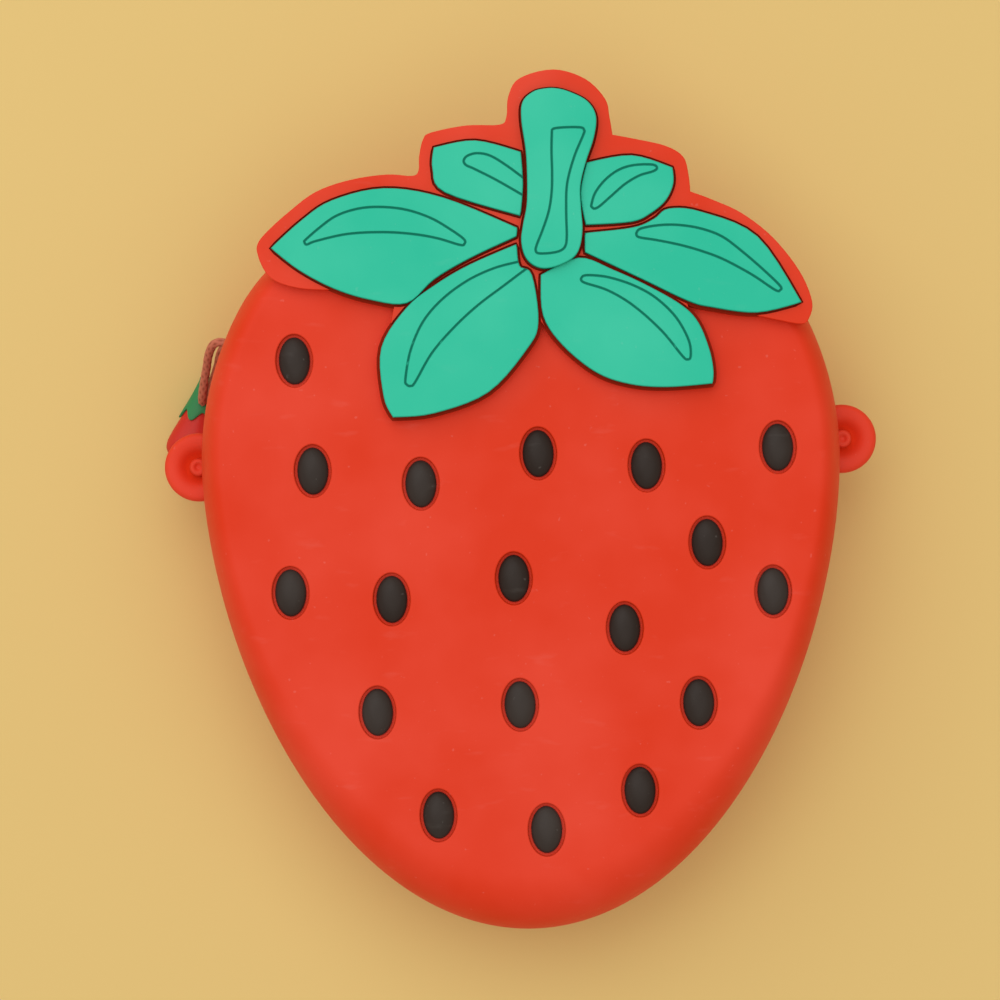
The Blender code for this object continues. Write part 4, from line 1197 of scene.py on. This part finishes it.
class DressLugs(bpy.types.Operator):
    """Add the two strap lugs with their dished recesses, and the studs"""

    bl_idname = "strawberry_bag.dress_lugs"
    bl_label = "Lugs and studs"

    def execute(self, context):
        red = silicone("red_silicone_lug", context.scene.bag_colours.red, 0.50, painted_shade_share=0.95)
        rounding = []
        for rise, run in quarter_turn(ROUNDING_STEPS + 1):
            rounding.append((LUG_RADIUS - LUG_EDGE_ROUND * (1 - rise), LUG_EDGE_ROUND * (1 - run)))
        upper = [(radius, LUG_HALF_THICKNESS - drop) for radius, drop in LUG_SECTION + rounding]
        dish_radius, dish_drop = LUG_SECTION[-1][0], LUG_SECTION[0][1]

        # Painted shade in the dish grows with its depth, taking the red to 0.95 of itself
        def dish_painted_shade(offset):
            inside = offset.z > 0 and offset.xy.length < dish_radius
            return (LUG_HALF_THICKNESS - offset.z) / dish_drop if inside else 0.0

        lower = [(radius, drop - LUG_HALF_THICKNESS) for radius, drop in reversed(rounding)]
        for side, sign, above in (("left", -1, LEFT_LUG_ABOVE_CENTRE), ("right", 1, RIGHT_LUG_ABOVE_CENTRE)):
            centre = Vector((sign * LUG_CENTRE_X, CENTRE_Y + above, MIDDLE_Z))
            lug = spun(upper + lower + [(0.0, -LUG_HALF_THICKNESS)], centre)
            cut = bmesh.ops.bisect_plane(
                lug,
                geom=lug.verts[:] + lug.edges[:] + lug.faces[:],
                plane_co=(sign * LUG_ROOT_X, 0, 0),
                plane_no=(-sign, 0, 0),
                clear_outer=True,
            )["geom_cut"]
            bmesh.ops.contextual_create(lug, geom=only(bmesh.types.BMEdge, cut))
            name = f"strap_lug_{side}"
            piece = add_piece(f"{name}_dished", lug, red, (name,))
            store_painted_shade(piece, lambda place: dish_painted_shade(place - centre))
            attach(piece, "bag")
            base = Vector((centre.x, centre.y, STUD_BASE))
            name = f"strap_stud_{side}"
            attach(add_piece(f"{name}_dimpled", spun(STUD_SECTION, base), red, (name,)), "bag")
        return {"FINISHED"}


class DressCharm(bpy.types.Operator):
    """Add the charm's fruit and its lobed leaf cap"""

    bl_idname = "strawberry_bag.dress_charm"
    bl_label = "Charm"

    def execute(self, context):
        colours = context.scene.bag_colours
        red = silicone("charm_red_silicone", colours.charm_red, 0.38, dust=0.1)
        green = silicone("charm_green_silicone", colours.charm_green, 0.45, dust=0.1)
        rows = [(CHARM_PROFILE_SHARES[-1][0] * step / CHARM_STEPS, 1.0) for step in range(CHARM_STEPS + 1)]
        rings = [
            charm_ring(lambda turn: CHARM_LENGTH * share, narrow) for share, narrow in rows + CHARM_TIP_SHARES
        ]
        fruit = add_piece("charm_berry", loft(rings), red, ("charm_fruit",))
        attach(fruit, "charm")
        rings = [cap_ring(*row) for row in CAP_SECTION_SHARES]
        cap = add_piece("charm_leaves", loft(rings), green, ("charm_leaf_cap",))
        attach(cap, "charm")
        return {"FINISHED"}


class DressCord(bpy.types.Operator):
    """Add the braided cord loop between the slider and the charm"""

    bl_idname = "strawberry_bag.dress_cord"
    bl_label = "Cord loop"

    def execute(self, context):
        radius = context.scene.bag_sizes.cord_diameter / 2
        points = [Vector((x / 10000, CENTRE_Y + y / 10000, z / 10000)) for x, y, z in LOOP_ROUTE]
        route = even_route(smooth_route(points, CORD_ROUTE_STEPS), CORD_STEP)
        length = sum((end - start).length for start, end in zip(route, route[1:]))

        def radius_at(turn, along):
            return radius * (1 - BRAID_RELIEF + BRAID_RELIEF * strand_height(turn, along))

        bm = loft(tube_rings(route, CORD_SIDES, radius_at))
        braid = braided_cord("cord_braid", context.scene.bag_colours.cord)
        cord = add_piece("braided_loop", bm, braid, ("pull_loop",))
        heights = cord.data.attributes.new("strand_height", "FLOAT", "POINT")
        step = length / (len(route) - 1)
        for index in range(len(cord.data.vertices)):
            turn = math.tau * (index % CORD_SIDES) / CORD_SIDES
            heights.data[index].value = strand_height(turn, step * (index // CORD_SIDES))
        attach(cord, "pull")
        return {"FINISHED"}


class AddStage(bpy.types.Operator):
    """Add the pale floor, the soft studio light and the camera"""

    bl_idname = "strawberry_bag.add_stage"
    bl_label = "Stage"

    def execute(self, context):
        scene = context.scene
        bm = bmesh.new()
        bmesh.ops.create_grid(bm, x_segments=FLOOR_CELLS, y_segments=FLOOR_CELLS, size=FLOOR_HALF_SIZE)
        floor = add_object("floor", finished_mesh(bm, "floor"))
        floor.data.materials.append(pale_floor("floor_pale", scene.bag_colours.floor))

        for name, place, size, energy in SOFTBOXES:
            light = bpy.data.lights.new(name, "AREA")
            light.shape = "SQUARE"
            light.size = size
            light.energy = energy
            lamp = add_object(name, light)
            lamp.location = place
            lamp.rotation_euler = (-Vector(place)).to_track_quat("-Z", "Y").to_euler()

        world = bpy.data.worlds.new("studio")
        world.use_nodes = True
        background = world.node_tree.nodes["Background"]
        background.inputs["Color"].default_value = (*WORLD_COLOUR, 1.0)
        background.inputs["Strength"].default_value = WORLD_STRENGTH
        scene.world = world

        camera = bpy.data.cameras.new("photo_camera")
        camera.lens = CAMERA_LENS
        camera.sensor_width = SENSOR_WIDTH
        viewer = add_object("photo_camera", camera)
        viewer.location = CAMERA_PLACE
        viewer.rotation_euler = (0, 0, math.radians(CAMERA_TURN_DEG))
        scene.camera = viewer
        scene.view_settings.view_transform = "Standard"
        return {"FINISHED"}


class StrawberryBagPanel(bpy.types.Panel):
    """Sizes, colours and the steps that dress the bag"""

    bl_idname = "VIEW3D_PT_strawberry_bag"
    bl_label = "Strawberry Bag"
    bl_space_type = "VIEW_3D"
    bl_region_type = "UI"
    bl_category = "Strawberry Bag"

    def draw(self, context):
        layout = self.layout
        for group in (context.scene.bag_sizes, context.scene.bag_colours):
            for name in group.__annotations__:
                layout.prop(group, name)
        for operator in OPERATORS:
            layout.operator(operator.bl_idname)


OPERATORS = (
    AddStage, DressCharm, DressCord, DressShells, DressSeeds, DressCalyx, DressZip, DressCrown, DressLugs,
)
CLASSES = (BagColours, BagSizes, *OPERATORS, StrawberryBagPanel)


def register():
    for cls in CLASSES:
        bpy.utils.register_class(cls)
    bpy.types.Scene.bag_colours = bpy.props.PointerProperty(type=BagColours)
    bpy.types.Scene.bag_sizes = bpy.props.PointerProperty(type=BagSizes)


def unregister():
    del bpy.types.Scene.bag_sizes
    del bpy.types.Scene.bag_colours
    for cls in reversed(CLASSES):
        bpy.utils.unregister_class(cls)


def main():
    register()
    bpy.ops.strawberry_bag.add_stage()
    bpy.ops.strawberry_bag.dress_charm()
    bpy.ops.strawberry_bag.dress_cord()
    bpy.ops.strawberry_bag.dress_shells()
    bpy.ops.strawberry_bag.dress_seeds()
    bpy.ops.strawberry_bag.dress_calyx()
    bpy.ops.strawberry_bag.dress_zip()
    bpy.ops.strawberry_bag.dress_crown()
    bpy.ops.strawberry_bag.dress_lugs()


if __name__ == "__main__":
    main()
